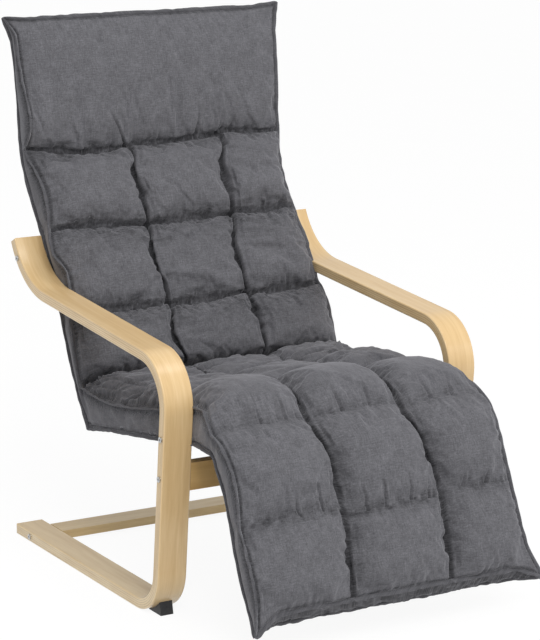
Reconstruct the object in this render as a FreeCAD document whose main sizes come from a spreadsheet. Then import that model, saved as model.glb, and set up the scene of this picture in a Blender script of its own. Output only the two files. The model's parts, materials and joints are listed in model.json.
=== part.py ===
import FreeCAD, Part
import Sketcher
import math
import os

from FreeCAD import Placement, Rotation, Vector

# Lounge chair on two bent laminated side frames, with one long quilted cushion over a steel tube frame
# and a leg rest that turns about a hinge at the knee.
# The chair faces -Y, +Z is up and z = 0 is the floor; left is -X, as seen from in front of the chair.
# While the pieces are drawn, y = 0 is the corner where leg and runner meet; the end of the script moves
# the origin to the middle of the chair's box.

doc = FreeCAD.newDocument("lounge_chair")
sheet = doc.addObject("Spreadsheet::Sheet", "Sizes")

# name, millimetres or degrees, meaning
DRIVING_SIZES = [
    ("overall_width", 670, "outer face to outer face of the side frames"),
    ("strip_width", 59, "laminated strip, across"),
    ("strip_thickness", 20.6, "laminated strip, through its layers"),
    ("runner_length", 592.7, "corner of leg and runner to the runner's rear end"),
    ("leg_height", 467.8, "runner's centre line to the arm's centre line at the front corner"),
    ("leg_lean", 42.5, "how far the top of the leg is ahead of its foot"),
    ("arm_length", 584.8, "front corner of the arm to the rear bend"),
    ("arm_rise", 43.1, "rise of the arm over that length"),
    ("arm_end_length", 43.1, "rear bend to the arm's end, along Y"),
    ("arm_end_rise", 83.5, "rear bend to the arm's end, along Z"),
    ("bottom_bend_radius", 77, "centre line radius of the bend on the floor"),
    ("front_bend_radius", 87, "centre line radius of the bend at the front of the arm"),
    ("rear_bend_radius", 160, "centre line radius of the arm's rear bend"),
    ("strip_edge_round", 2.5, "rounding of the strip's long edges"),
    ("bolt_radius", 3, "M6 bolts"),
    ("bolt_head_radius", 5.5, "button head"),
    ("bolt_head_height", 2.5, "button head"),
    ("bolt_socket_size", 2.3, "corner radius of the hexagon socket"),
    ("bolt_socket_depth", 1.6, "hexagon socket"),
    ("bolt_grip_in_rail", 42, "thread length inside a cross rail"),
    ("bore_clearance", 0.1, "radial clearance of bolts and dowels"),
    ("lower_bolt_height", 269, "lower leg bolt above the floor"),
    ("runner_bolt_setback", 64, "runner bolt ahead of the runner's rear end"),
    ("arm_bolt_setback", 40, "arm bolt below the arm's end, along the strip"),
    ("dowel_radius", 4, "wooden dowels"),
    ("dowel_length", 40, "wooden dowels"),
    ("dowel_spacing", 17, "dowel to bolt, along the rail's width"),
    ("barrel_nut_radius", 5, "barrel nuts"),
    ("barrel_nut_length", 14, "barrel nuts"),
    ("barrel_nut_setback", 30, "barrel nut from the rail's end"),
    ("front_rail_height", 53, "cross rail between the legs, on edge"),
    ("front_rail_thickness", 18, "cross rail between the legs"),
    ("floor_rail_width", 55, "flat rail between the runners"),
    ("floor_rail_thickness", 17, "flat rail between the runners"),
    ("back_rail_height", 60, "cross rail behind the back"),
    ("back_rail_thickness", 18, "cross rail behind the back"),
    ("back_rail_clearance", 1, "back rail to the rear face of the back"),
    ("foot_width", 26, "plastic wedge foot"),
    ("foot_front", 4, "front edge of the foot behind the corner vertex"),
    ("foot_rear", 50, "rear edge of the foot behind the corner vertex"),
    ("foot_rake", 5, "lean of the foot's front face"),
    ("foot_screw_radius", 1.75, "wood screw"),
    ("foot_screw_length", 20, "wood screw"),
    ("foot_screw_head_radius", 3.5, "wood screw"),
    ("foot_screw_head_height", 2, "wood screw"),
    ("foot_screw_recess", 3, "screw head above the floor"),
    ("foot_screw_back", 26, "screw behind the corner vertex"),
    ("seat_bolt_height", 344.1, "upper leg bolt above the floor, in the middle of the seat tubes"),
    ("seat_length", 487.7, "underside of the seat, knee to rear corner"),
    ("seat_drop", 7.07, "degrees the seat drops towards the back"),
    ("lower_back_length", 410, "rear face of the lower back"),
    ("lower_back_lean", 33.5, "degrees from upright"),
    ("upper_back_length", 193, "rear face of the upper back"),
    ("upper_back_lean", 19.4, "degrees from upright"),
    ("head_length", 215, "rear face of the head section"),
    ("head_lean", 9.6, "degrees from upright"),
    ("leg_rest_length", 307, "rear face of the leg rest"),
    ("leg_rest_slope", 61.6, "degrees below level"),
    ("cushion_side_gap", 0.5, "cushion to the side frames"),
    ("pillow_overhang", 12.5, "how much wider the cushion is, to each side, above the arms and on the leg rest"),
    ("cover_thickness", 1.5, "fabric panels"),
    ("soft_gap", 0.3, "clearance round soft pieces"),
    ("tube_height", 16, "tube of the back and the leg rest, front to rear"),
    ("seat_tube_height", 30, "tube of the seat, upright side"),
    ("tube_width", 20, "all tubes, across the chair"),
    ("tube_wall", 1.5, "wall of all tubes"),
    ("seat_spacer_length", 14, "inner face of the side frames to the seat and back tubes"),
    ("tube_bend_radius", 220, "bends of the back's side tubes"),
    ("tube_top_margin", 30, "top of the back tubes below the top edge"),
    ("tube_end_margin", 14, "end of the leg rest tubes from the cushion's end"),
    ("back_tube_depth", 10.5, "middle of the back tubes in front of the rear face"),
    ("seat_tube_depth", 20, "middle of the seat tubes above the underside"),
    ("leg_tube_depth", 18, "middle of the leg rest tubes in front of its rear face"),
    ("weld_gap", 0.3, "gap between butted tubes"),
    ("cross_tube_margin", 6, "cross tube from the end of its side tubes"),
    ("hinge_plate_thickness", 3, "knee hinge"),
    ("hinge_plate_reach", 90, "knee hinge plate from the pin to its end"),
    ("hinge_plate_height", 16, "knee hinge plate"),
    ("hinge_pin_radius", 4, "knee hinge"),
    ("hinge_pin_clearance", 0.05, "knee hinge, radial and beside the plates"),
    ("hinge_pin_head_radius", 7, "head at each end of the pin"),
    ("hinge_pin_head_height", 2.5, "head at each end of the pin"),
    ("hinge_washer_radius", 7.5, "friction washer"),
    ("hinge_washer_thickness", 0.8, "friction washer"),
    ("corner_plate_reach", 75, "corner plate along each tube"),
    ("corner_plate_height", 14, "corner plate"),
    ("corner_plate_thickness", 3, "corner plate"),
    ("corner_plate_bend", 12, "bend between the two arms of the corner plate"),
    ("spacer_radius", 8, "spacers on the seat and back bolts"),
    ("nut_corner_radius", 5.5, "hexagon nuts"),
    ("nut_height", 5, "hexagon nuts"),
    ("bolt_end_past_nut", 2, "bolt end beyond its nut"),
    ("back_rail_bolt_spacing", 260, "the two bolts from the back rail into the back frame"),
    ("strap_width", 50, "webbing"),
    ("strap_thickness", 1.6, "webbing"),
    ("lower_strap_count", 4, "webbing across the lower back"),
    ("upper_strap_count", 2, "webbing across the upper back"),
    ("head_strap_count", 2, "webbing across the head section"),
    ("seat_strap_count", 5, "webbing across the seat"),
    ("leg_strap_count", 3, "webbing across the leg rest"),
    ("strap_end_inset", 3, "strap end from the outer face of the side tubes"),
    ("cavity_side_clearance", 6, "room for the frame beyond the outer faces of the tubes"),
    ("cavity_top_margin", 22, "end of that room below the top edge"),
    ("cavity_end_margin", 10, "end of that room from the leg rest's end"),
    ("knee_roll_radius", 23.7, "foam roll round the knee hinge line"),
    ("knee_roll_end_gap", 6, "foam roll to the inner faces of the seat tubes"),
    ("seat_front_face_angle", 94, "front face of the seat cushion, degrees from +Y"),
    ("side_bulge", 4, "swell of the side band"),
    ("back_welt_height", 58, "side band of the back at the middle of a tuft"),
    ("back_seam_height", 38, "side band of the back at a sewn row"),
    ("back_crown_height", 27, "rise of a tuft over its side band, back"),
    ("head_seam_height", 27, "side band at the row under the head section"),
    ("top_seam_height", 31, "thickness at the top edge"),
    ("head_welt_height", 50, "side band at the middle of the head section"),
    ("head_crown_height", 14, "rise of the head section over its side band"),
    ("seat_welt_height", 58, "side band of the seat at the middle of a tuft"),
    ("seat_seam_height", 48, "side band of the seat at a sewn row"),
    ("seat_rear_height", 60, "side band of the seat at its rear edge"),
    ("seat_crown_height", 36, "rise of a tuft over its side band, seat"),
    ("knee_welt_height", 66, "side band of the seat's front tuft"),
    ("knee_crown_height", 54, "rise of the seat's front tuft over its side band"),
    ("knee_seam_height", 44, "side band at the fold of the knee"),
    ("leg_upper_welt_height", 62, "side band of the leg rest's upper tuft"),
    ("leg_lower_welt_height", 46, "side band of the leg rest's lower tuft"),
    ("leg_seam_height", 42, "side band of the leg rest at a sewn row"),
    ("leg_end_height", 36, "thickness at the leg rest's end"),
    ("leg_crown_height", 18, "rise of a tuft over its side band, leg rest"),
    ("seam_crown_height", 4, "rise between the channels at a sewn row"),
    ("crease_distance", 58, "lower edge of the back cushion, from the rear corner"),
    ("first_back_row", 220, "sewn row, from the rear corner along the rear face"),
    ("second_back_row", 392, "sewn row, from the rear corner along the rear face"),
    ("third_back_row", 576, "sewn row under the head section, from the rear corner along the rear face"),
    ("back_bend_run", 60, "the back's cross sections turn over this much to each side of a bend"),
    ("wide_above", 640, "height where the back grows wider than the space between the arms"),
    ("seat_rear_gap", 14, "rear edge of the seat cushion from the rear corner"),
    ("first_seat_row", 160, "sewn row, from the rear corner along the underside"),
    ("second_seat_row", 330, "sewn row, from the rear corner along the underside"),
    ("seat_turn_run", 90, "the seat's cross sections turn to the front face over this much"),
    ("leg_rest_row", 147, "sewn row, from the knee along the rear face"),
    ("cover_bend_radius", 20, "bends of the back's fabric panel"),
    ("knee_cover_gap", 10, "end of the fabric panels from the knee vertex"),
    ("overrun", 5, "how far cutting shapes run past what they cut"),
]

size = {}
for row, (alias, amount, meaning) in enumerate(DRIVING_SIZES, start=1):
    sheet.set(f"A{row}", meaning)
    sheet.set(f"B{row}", str(amount))
    sheet.setAlias(f"B{row}", alias)
    size[alias] = amount
doc.recompute()

HALF = 0.5
RIGHT_ANGLE = 90
HALF_TURN = 180
SIDES = (("left", -1), ("right", 1))
X_AXIS = Vector(1, 0, 0)
TOLERANCE = 0.001
nodes = []


def node(piece, label):
    """Gives a finished piece its name and marks it for export."""
    piece.Label = label
    nodes.append(piece)
    return piece


def at(y, z, x=0):
    return Vector(x, y, z)


def direction(angle):
    """Unit vector in the side plane, degrees from +Y towards +Z."""
    return at(math.cos(math.radians(angle)), math.sin(math.radians(angle)))


def turned(vector, angle):
    return Rotation(X_AXIS, angle).multVec(vector)


# Side plane: the frame strip and the line of the cushion's rear and under face

def strip_points():
    """Centre line vertices of a side frame, from the runner's rear end to the arm's rear end."""
    level = size["strip_thickness"] * HALF
    corner = at(0, level)
    arm_front = corner + at(-size["leg_lean"], size["leg_height"])
    arm_rear = arm_front + at(size["arm_length"], size["arm_rise"])
    arm_end = arm_rear + at(size["arm_end_length"], size["arm_end_rise"])
    return [at(size["runner_length"], level), corner, arm_front, arm_rear, arm_end]


SEAT_ANGLE = HALF_TURN - size["seat_drop"]
LOWER_ANGLE = RIGHT_ANGLE - size["lower_back_lean"]
UPPER_ANGLE = RIGHT_ANGLE - size["upper_back_lean"]
HEAD_ANGLE = RIGHT_ANGLE - size["head_lean"]
LEG_ANGLE = HALF_TURN + size["leg_rest_slope"]

def on_line(line, along, depth):
    """Point at a distance along a section's rear face and a depth towards the sitter."""
    start, angle, facing = line
    return start + direction(angle) * along + direction(facing) * depth


def offset_vertices(vertices, depth):
    """Corner points of the line that runs at a depth beside a bent line, towards its left hand."""
    moved = []
    for index, vertex in enumerate(vertices):
        before = vertices[max(index - 1, 0)]
        after = vertices[min(index + 1, len(vertices) - 1)]
        ways = [way.normalize() for way in (vertex - before, after - vertex) if way.Length > 0]
        normals = [turned(way, RIGHT_ANGLE) for way in ways]
        middle = sum(normals[1:], normals[0]).normalize()
        moved.append(vertex + middle * (depth / middle.dot(normals[0])))
    return moved


def bent_line(vertices, radii, shift):
    """Edges of a bent line moved sideways by a shift towards its left hand; radii are of the middle line."""
    corners = offset_vertices(vertices, shift)
    edges = []
    start = corners[0]
    for index in range(1, len(corners) - 1):
        way_in = (vertices[index] - vertices[index - 1]).normalize()
        way_out = (vertices[index + 1] - vertices[index]).normalize()
        turn = math.atan2(way_in.cross(way_out).x, way_in.dot(way_out))
        radius = radii[index - 1] - shift * math.copysign(1, turn)
        cut = radius * math.tan(abs(turn) * HALF)
        arc_start = corners[index] - way_in * cut
        arc_end = corners[index] + way_out * cut
        centre = arc_start + turned(way_in, math.copysign(RIGHT_ANGLE, turn)) * radius
        middle = centre + (corners[index] - centre).normalize() * radius
        edges.append((start, arc_start))
        edges.append((arc_start, middle, arc_end))
        start = arc_end
    edges.append((start, corners[-1]))
    return edges


def strip_outline(vertices, radii, thickness):
    """Closed outline of a strip of even thickness that follows a bent line."""
    left = bent_line(vertices, radii, thickness * HALF)
    right = [tuple(reversed(edge)) for edge in reversed(bent_line(vertices, radii, -thickness * HALF))]
    return left + [(left[-1][-1], right[0][0])] + right + [(right[-1][-1], left[0][0])]


def draw(sketch, edges):
    """Closed run of edges, two points for a line and three for an arc, with their meeting ends joined.

    A sketch calls the start of an edge 1, its end 2 and the centre of a circle 3; edge -1 starts at its origin.
    """
    for edge in edges:
        if len(edge) == 2:
            sketch.addGeometry(Part.LineSegment(*edge))
        else:
            sketch.addGeometry(Part.Arc(*edge))
    for index in range(len(edges)):
        following = (index + 1) % len(edges)
        for end in (1, 2):
            for other in (1, 2):
                gap = sketch.getPoint(index, end) - sketch.getPoint(following, other)
                if gap.Length < TOLERANCE:
                    sketch.addConstraint(Sketcher.Constraint("Coincident", index, end, following, other))


def to_sketch(sketch, edges):
    """Draws side plane edges in a sketch on the side plane."""
    draw(sketch, [[Vector(point.y, point.z, 0) for point in edge] for edge in edges])


def plane_of(body, role):
    return next(feature for feature in body.Origin.OriginFeatures if feature.Role == role)


def new_sketch(body, name, role="YZ_Plane"):
    sketch = body.newObject("Sketcher::SketchObject", name)
    sketch.AttachmentSupport = [(plane_of(body, role), "")]
    sketch.MapMode = "FlatFace"
    return sketch


def padded_body(name, edges, width_expression):
    """Body made by padding a side plane outline evenly to both sides of x = 0."""
    body = doc.addObject("PartDesign::Body", name)
    sketch = new_sketch(body, name + "_outline")
    to_sketch(sketch, edges)
    pad = body.newObject("PartDesign::Pad", name + "_pad")
    pad.Profile = sketch
    pad.SideType = "Symmetric"
    pad.setExpression("Length", width_expression)
    doc.recompute()
    return body


def add_circles(sketch, centres, radius_expression, radius):
    """Circles in a sketch, each held at its place, with their radius bound to the sheet."""
    for u, v in centres:
        index = sketch.addGeometry(Part.Circle(Vector(u, v, 0), Vector(0, 0, 1), radius))
        sketch.addConstraint(Sketcher.Constraint("DistanceX", -1, 1, index, 3, u))
        sketch.addConstraint(Sketcher.Constraint("DistanceY", -1, 1, index, 3, v))
        constraint = sketch.addConstraint(Sketcher.Constraint("Radius", index, radius))
        sketch.setExpression(f"Constraints[{constraint}]", radius_expression)


def side_places(points):
    return [(point.y, point.z) for point in points]


def cut_through(body, sketch, name):
    """Pocket through the whole body, both ways, that must take material away."""
    before = body.Shape.Volume
    pocket = body.newObject("PartDesign::Pocket", name)
    pocket.Profile = sketch
    pocket.Type = "ThroughAll"
    pocket.SideType = "Symmetric"
    doc.recompute()
    if body.Shape.Volume >= before:
        raise RuntimeError(name + " cut nothing")
    return pocket


# Bolt places in the side plane

STRIP = strip_points()
leg_way = (STRIP[2] - STRIP[1]).normalize()
leg_angle = math.degrees(math.atan2(leg_way.z, leg_way.y))


def on_leg(height):
    return STRIP[1] + leg_way * ((height - STRIP[1].z) / leg_way.z)


def on_rear_bend(setback):
    """Point of the centre line on the arm's rear bend, at a distance along the strip from the arm's end."""
    radius = size["rear_bend_radius"]
    arm_way = (STRIP[3] - STRIP[2]).normalize()
    end_way = (STRIP[4] - STRIP[3]).normalize()
    turn = math.acos(arm_way.dot(end_way))
    tangent = radius * math.tan(turn * HALF)
    bend_end = STRIP[3] + end_way * tangent
    straight = (STRIP[4] - STRIP[3]).Length - tangent
    centre = bend_end + turned(end_way, RIGHT_ANGLE) * radius
    return centre + turned(bend_end - centre, -math.degrees((setback - straight) / radius))


lower_bolt = on_leg(size["lower_bolt_height"])
upper_bolt = on_leg(size["seat_bolt_height"])
arm_bolt = on_rear_bend(size["arm_bolt_setback"])
runner_bolt = at(size["runner_length"] - size["runner_bolt_setback"], STRIP[0].z)


# The cushion's rear and under face: the seat tubes' middle passes through the upper leg bolts, and the back
# lies just ahead of the back rail, which the arm bolts hold

def crossing(start_a, angle_a, start_b, angle_b):
    """Where two lines in the side plane meet, each given by a point and its angle."""
    way_a = direction(angle_a)
    way_b = direction(angle_b)
    return start_a + way_a * ((start_b - start_a).cross(way_b).x / way_a.cross(way_b).x)


under_seat = upper_bolt - direction(SEAT_ANGLE - RIGHT_ANGLE) * size["seat_tube_depth"]
behind_back = size["back_rail_thickness"] * HALF + size["back_rail_clearance"]
on_back = arm_bolt + direction(LOWER_ANGLE + RIGHT_ANGLE) * behind_back
rear_corner = crossing(under_seat, SEAT_ANGLE, on_back, LOWER_ANGLE)
waist = rear_corner + direction(LOWER_ANGLE) * size["lower_back_length"]
neck = waist + direction(UPPER_ANGLE) * size["upper_back_length"]
top = neck + direction(HEAD_ANGLE) * size["head_length"]
knee = rear_corner + direction(SEAT_ANGLE) * size["seat_length"]

# Each section of the cushion: where it starts, its direction, and which way its sitting face looks
SEAT_LINE = (rear_corner, SEAT_ANGLE, SEAT_ANGLE - RIGHT_ANGLE)
LOWER_LINE = (rear_corner, LOWER_ANGLE, LOWER_ANGLE + RIGHT_ANGLE)
UPPER_LINE = (waist, UPPER_ANGLE, UPPER_ANGLE + RIGHT_ANGLE)
HEAD_LINE = (neck, HEAD_ANGLE, HEAD_ANGLE + RIGHT_ANGLE)
LEG_LINE = (knee, LEG_ANGLE, LEG_ANGLE - RIGHT_ANGLE)


def blind_pocket(body, sketch, name, depth_expression, along_normal):
    """Pocket of a set depth to one side of its sketch, that must take material away."""
    before = body.Shape.Volume
    pocket = body.newObject("PartDesign::Pocket", name)
    pocket.Profile = sketch
    pocket.Type = "Length"
    pocket.Reversed = along_normal
    pocket.setExpression("Length", depth_expression)
    doc.recompute()
    if body.Shape.Volume >= before:
        raise RuntimeError(name + " cut nothing")
    return pocket


def side_frame(label, side):
    """One strip of laminated wood: arm, leg and runner, with its bolt and dowel holes."""
    radii = [size["bottom_bend_radius"], size["front_bend_radius"], size["rear_bend_radius"]]
    body = padded_body(label, strip_outline(STRIP, radii, size["strip_thickness"]), "Sizes.strip_width")
    holes = new_sketch(body, label + "_bolt_holes")
    bolts = [lower_bolt, upper_bolt, arm_bolt, runner_bolt]
    clear_radius = size["bolt_radius"] + size["bore_clearance"]
    add_circles(holes, side_places(bolts), BOLT_BORE, clear_radius)
    cut_through(body, holes, label + "_bolt_pocket")
    dowel_holes = new_sketch(body, label + "_dowel_holes")
    dowel_hole_radius = size["dowel_radius"] + size["bore_clearance"]
    add_circles(dowel_holes, side_places(DOWEL_PLACES), DOWEL_BORE, dowel_hole_radius)
    blind_pocket(body, dowel_holes, label + "_dowel_pocket", "Sizes.strip_width / 2", side < 0)
    pilot_hole = new_sketch(body, label + "_pilot_hole", "XY_Plane")
    pilot_radius = size["foot_screw_radius"] + size["bore_clearance"]
    add_circles(pilot_hole, [(0, size["foot_screw_back"])], SCREW_BORE, pilot_radius)
    pilot_depth = "Sizes.foot_screw_recess + Sizes.foot_screw_head_height + Sizes.foot_screw_length"
    pocket = blind_pocket(body, pilot_hole, label + "_pilot_pocket", pilot_depth + " + Sizes.bore_clearance", True)
    face_x = size["strip_width"] * HALF
    outer_edges = []
    for number, edge in enumerate(pocket.Shape.Edges, start=1):
        on_face = all(abs(abs(vertex.Point.x) - face_x) < TOLERANCE for vertex in edge.Vertexes)
        along_face = abs(edge.Vertexes[0].Point.x - edge.Vertexes[-1].Point.x) < TOLERANCE
        if on_face and along_face and not edge.isClosed():
            outer_edges.append(f"Edge{number}")
    rounding = body.newObject("PartDesign::Fillet", label + "_rounding")
    rounding.Base = (pocket, outer_edges)
    rounding.setExpression("Radius", "Sizes.strip_edge_round")
    doc.recompute()
    body.Placement.Base = at(0, 0, side * (size["overall_width"] - size["strip_width"]) * HALF)
    return node(body, label)


def primitive(kind, name, placement, **expressions):
    """Part primitive with its sizes bound to the sheet."""
    piece = doc.addObject("Part::" + kind, name)
    for prop, expression in expressions.items():
        piece.setExpression(prop, expression)
    piece.Placement = placement
    return piece


def centred_box(name, centre, angle, length, width, height):
    """Box round a centre, turned about X; width lies along the angle and height is square to it."""
    box = primitive("Box", name, Placement(), Length=length, Width=width, Height=height)
    doc.recompute()
    turn = Rotation(X_AXIS, angle)
    half_box = Vector(box.Length.Value, box.Width.Value, box.Height.Value) * HALF
    box.Placement = Placement(centre - turn.multVec(half_box), turn)
    return box


def rod(name, start, end, radius):
    """Cylinder between two points; its radius is an expression."""
    turn = Rotation(Vector(0, 0, 1), end - start)
    cylinder = primitive("Cylinder", name, Placement(start, turn), Radius=radius)
    cylinder.Height = (end - start).Length
    return cylinder


def hexagon(name, start, end, corner_radius):
    turn = Rotation(Vector(0, 0, 1), end - start)
    prism = primitive("Prism", name, Placement(start, turn), Circumradius=corner_radius)
    prism.Height = (end - start).Length
    return prism


def group(name, pieces):
    compound = doc.addObject("Part::Compound", name)
    compound.Links = pieces
    return compound


def cut(name, base, tools):
    """Boolean cut that must take material away."""
    result = doc.addObject("Part::Cut", name)
    result.Base = base
    result.Tool = tools[0] if len(tools) == 1 else group(name + "_tools", tools)
    doc.recompute()
    if result.Shape.Volume >= base.Shape.Volume:
        raise RuntimeError(name + " cut nothing")
    return result


def bolt(name, seat, inward, shank_length):
    """Button head bolt; its head lies on the seat point and its shank runs inward."""
    head_top = seat - inward * size["bolt_head_height"]
    head = rod(name + "_head", head_top, seat, "Sizes.bolt_head_radius")
    shank = rod(name + "_shank", seat, seat + inward * shank_length, "Sizes.bolt_radius")
    whole = doc.addObject("Part::Fuse", name + "_whole")
    whole.Base = head
    whole.Tool = shank
    socket_end = head_top + inward * size["bolt_socket_depth"]
    socket = hexagon(name + "_socket", head_top - inward * size["overrun"], socket_end, "Sizes.bolt_socket_size")
    return cut(name, whole, [socket])


def nut(name, start, way):
    """Hexagon nut on a bolt's line."""
    block = hexagon(name + "_block", start, start + way * size["nut_height"], "Sizes.nut_corner_radius")
    run = way * size["overrun"]
    bore = rod(name + "_bore", start - run, start + way * size["nut_height"] + run, BOLT_BORE)
    return cut(name, block, [bore])


BOLT_BORE = "Sizes.bolt_radius + Sizes.bore_clearance"
DOWEL_BORE = "Sizes.dowel_radius + Sizes.bore_clearance"
NUT_BORE = "Sizes.barrel_nut_radius + Sizes.bore_clearance"
SCREW_BORE = "Sizes.foot_screw_radius + Sizes.bore_clearance"

outer_x = size["overall_width"] * HALF
inner_x = outer_x - size["strip_width"]
half_span = inner_x - size["seat_spacer_length"]
HALF_SPAN = "(Sizes.overall_width / 2 - Sizes.strip_width - Sizes.seat_spacer_length)"


def depth_of(line, point):
    start, angle, facing = line
    return (point - start).dot(direction(facing))


def along_of(line, point):
    start, angle, facing = line
    return (point - start).dot(direction(angle))


# Cross rails: name, centre in the side plane, direction of the rail's width, and its sizes
back_rail_centre = arm_bolt
floor_rail_centre = at(runner_bolt.y, size["strip_thickness"] - size["floor_rail_thickness"] * HALF)
CROSS_RAILS = (
    ("front_cross_rail", lower_bolt, leg_angle, "front_rail_height", "front_rail_thickness"),
    ("floor_cross_rail", floor_rail_centre, 0, "floor_rail_width", "floor_rail_thickness"),
    ("back_cross_rail", back_rail_centre, LOWER_ANGLE, "back_rail_height", "back_rail_thickness"),
)


def rail_bolt_place(centre):
    """The bolt runs through the middle of the rail's end, and through the strip's middle line."""
    if centre is floor_rail_centre:
        return runner_bolt
    return centre


def dowel_place(centre, angle):
    """A dowel beside the bolt keeps the rail from turning; it lies in the strip's middle line too."""
    if centre is back_rail_centre:
        return on_rear_bend(size["arm_bolt_setback"] + size["dowel_spacing"])
    return rail_bolt_place(centre) - direction(angle) * size["dowel_spacing"]


DOWEL_PLACES = [dowel_place(centre, angle) for name, centre, angle, width, thickness in CROSS_RAILS]


def cross_rail(label, centre, angle, width, thickness):
    """Wooden rail between the side frames, bored at its ends for bolts, barrel nuts and dowels."""
    length = "Sizes.overall_width - 2 * Sizes.strip_width"
    board = centred_box(label + "_board", centre, angle, length, "Sizes." + width, "Sizes." + thickness)
    bores = []
    across = direction(angle + RIGHT_ANGLE)
    bolt_place = rail_bolt_place(centre)
    for side_name, side in SIDES:
        end = X_AXIS * side * (inner_x + size["overrun"])
        reach = X_AXIS * side * (inner_x - size["bolt_grip_in_rail"] - size["overrun"])
        bores.append(rod(f"{label}_{side_name}_bolt_bore", bolt_place + end, bolt_place + reach, BOLT_BORE))
        dowel_line = dowel_place(centre, angle)
        dowel_reach = X_AXIS * side * (inner_x - size["dowel_length"] * HALF - size["bore_clearance"])
        bores.append(rod(f"{label}_{side_name}_dowel_bore", dowel_line + end, dowel_line + dowel_reach, DOWEL_BORE))
        nut_place = centre + X_AXIS * side * (inner_x - size["barrel_nut_setback"])
        # The barrel nuts go in from the face that is turned away from the sitter
        outside = across * (size[thickness] * HALF + size["overrun"])
        inside = across * (size["barrel_nut_length"] * HALF + size["bore_clearance"])
        bores.append(rod(f"{label}_{side_name}_nut_bore", nut_place + inside, nut_place - outside, NUT_BORE))
    if label == "back_cross_rail":
        for x in BACK_BOLT_PLACES:
            outside = across * (size[thickness] + size["overrun"])
            start = centre + X_AXIS * x
            bores.append(rod(f"{label}_bore_{x:.0f}", start - outside, start + outside, BOLT_BORE))
    return node(cut(label, board, bores), label)


BACK_BOLT_PLACES = [side * size["back_rail_bolt_spacing"] * HALF for side_name, side in SIDES]


def barrel_nuts():
    """Two in each cross rail, crossways to the bolts they take."""
    made = []
    for label, centre, angle, width, thickness in CROSS_RAILS:
        across = direction(angle + RIGHT_ANGLE) * (size["barrel_nut_length"] * HALF)
        for side_name, side in SIDES:
            setback = X_AXIS * side * (inner_x - size["barrel_nut_setback"])
            middle = centre + setback
            name = f"{label}_{side_name}_nut"
            barrel = rod(name + "_barrel", middle - across, middle + across, "Sizes.barrel_nut_radius")
            half_bore = X_AXIS * (size["barrel_nut_radius"] + size["overrun"])
            thread = rail_bolt_place(centre) + setback
            bore = rod(name + "_thread", thread - half_bore, thread + half_bore, BOLT_BORE)
            made.append(cut(name, barrel, [bore]))
    return node(group("barrel_nuts", made), "barrel_nuts")


def rail_dowels():
    made = []
    reach = X_AXIS * (size["dowel_length"] * HALF)
    for index, place in enumerate(DOWEL_PLACES):
        for side_name, side in SIDES:
            middle = place + X_AXIS * side * inner_x
            made.append(rod(f"dowel_{index}_{side_name}", middle - reach, middle + reach, "Sizes.dowel_radius"))
    return node(group("rail_dowels", made), "rail_dowels")


def frame_bolts(label, place, shank_length):
    """The same bolt through both side frames."""
    made = []
    for side_name, side in SIDES:
        inward = X_AXIS * -side
        made.append(bolt(f"{label}_{side_name}", place + X_AXIS * side * outer_x, inward, shank_length))
    return node(group(label, made), label)


def foot(label, side):
    """Plastic wedge that fills the space between the floor and the front bend."""
    outer_radius = size["bottom_bend_radius"] + size["strip_thickness"] * HALF
    radii = [size["bottom_bend_radius"], size["front_bend_radius"], size["rear_bend_radius"]]
    arc_start, arc_middle, arc_end = bent_line(STRIP, radii, size["strip_thickness"] * HALF)[1]
    centre = at(arc_start.y, arc_start.z + outer_radius)
    seat_radius = outer_radius + size["bore_clearance"]

    def on_bend(y):
        return at(y, centre.z - math.sqrt(seat_radius ** 2 - (centre.y - y) ** 2))

    front_top = on_bend(size["foot_front"] + size["foot_rake"])
    rear_top = on_bend(size["foot_rear"])
    front_bottom = at(size["foot_front"], 0)
    rear_bottom = at(size["foot_rear"], 0)
    middle = on_bend((front_top.y + rear_top.y) * HALF)
    edges = [(front_bottom, front_top), (front_top, middle, rear_top), (rear_top, rear_bottom)]
    edges.append((rear_bottom, front_bottom))
    body = padded_body(label, edges, "Sizes.foot_width")
    body.Placement.Base = X_AXIS * side * (outer_x - size["strip_width"] * HALF)
    return body


def feet_and_screws():
    screws = []
    floor_point = at(size["foot_screw_back"], 0)
    for side_name, side in SIDES:
        base = floor_point + X_AXIS * side * (outer_x - size["strip_width"] * HALF)
        head_bottom = base + at(0, size["foot_screw_recess"])
        head_top = head_bottom + at(0, size["foot_screw_head_height"])
        tip = head_top + at(0, size["foot_screw_length"])
        head = rod(f"foot_screw_{side_name}_head", head_bottom, head_top, "Sizes.foot_screw_head_radius")
        shank = rod(f"foot_screw_{side_name}_shank", head_top, tip, "Sizes.foot_screw_radius")
        screw = doc.addObject("Part::Fuse", f"foot_screw_{side_name}")
        screw.Base = head
        screw.Tool = shank
        screws.append(screw)
        below = at(0, -size["overrun"])
        head_bore = "Sizes.foot_screw_head_radius + Sizes.bore_clearance"
        counterbore = rod(f"foot_{side_name}_counterbore", base + below, head_top, head_bore)
        pilot = rod(f"foot_{side_name}_pilot", base, tip - below, SCREW_BORE)
        wedge = foot(f"front_foot_{side_name}_wedge", side)
        node(cut(f"front_foot_{side_name}", wedge, [counterbore, pilot]), f"front_foot_{side_name}")
    node(group("foot_screws", screws), "foot_screws")


# Steel frame inside the cushion

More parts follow.
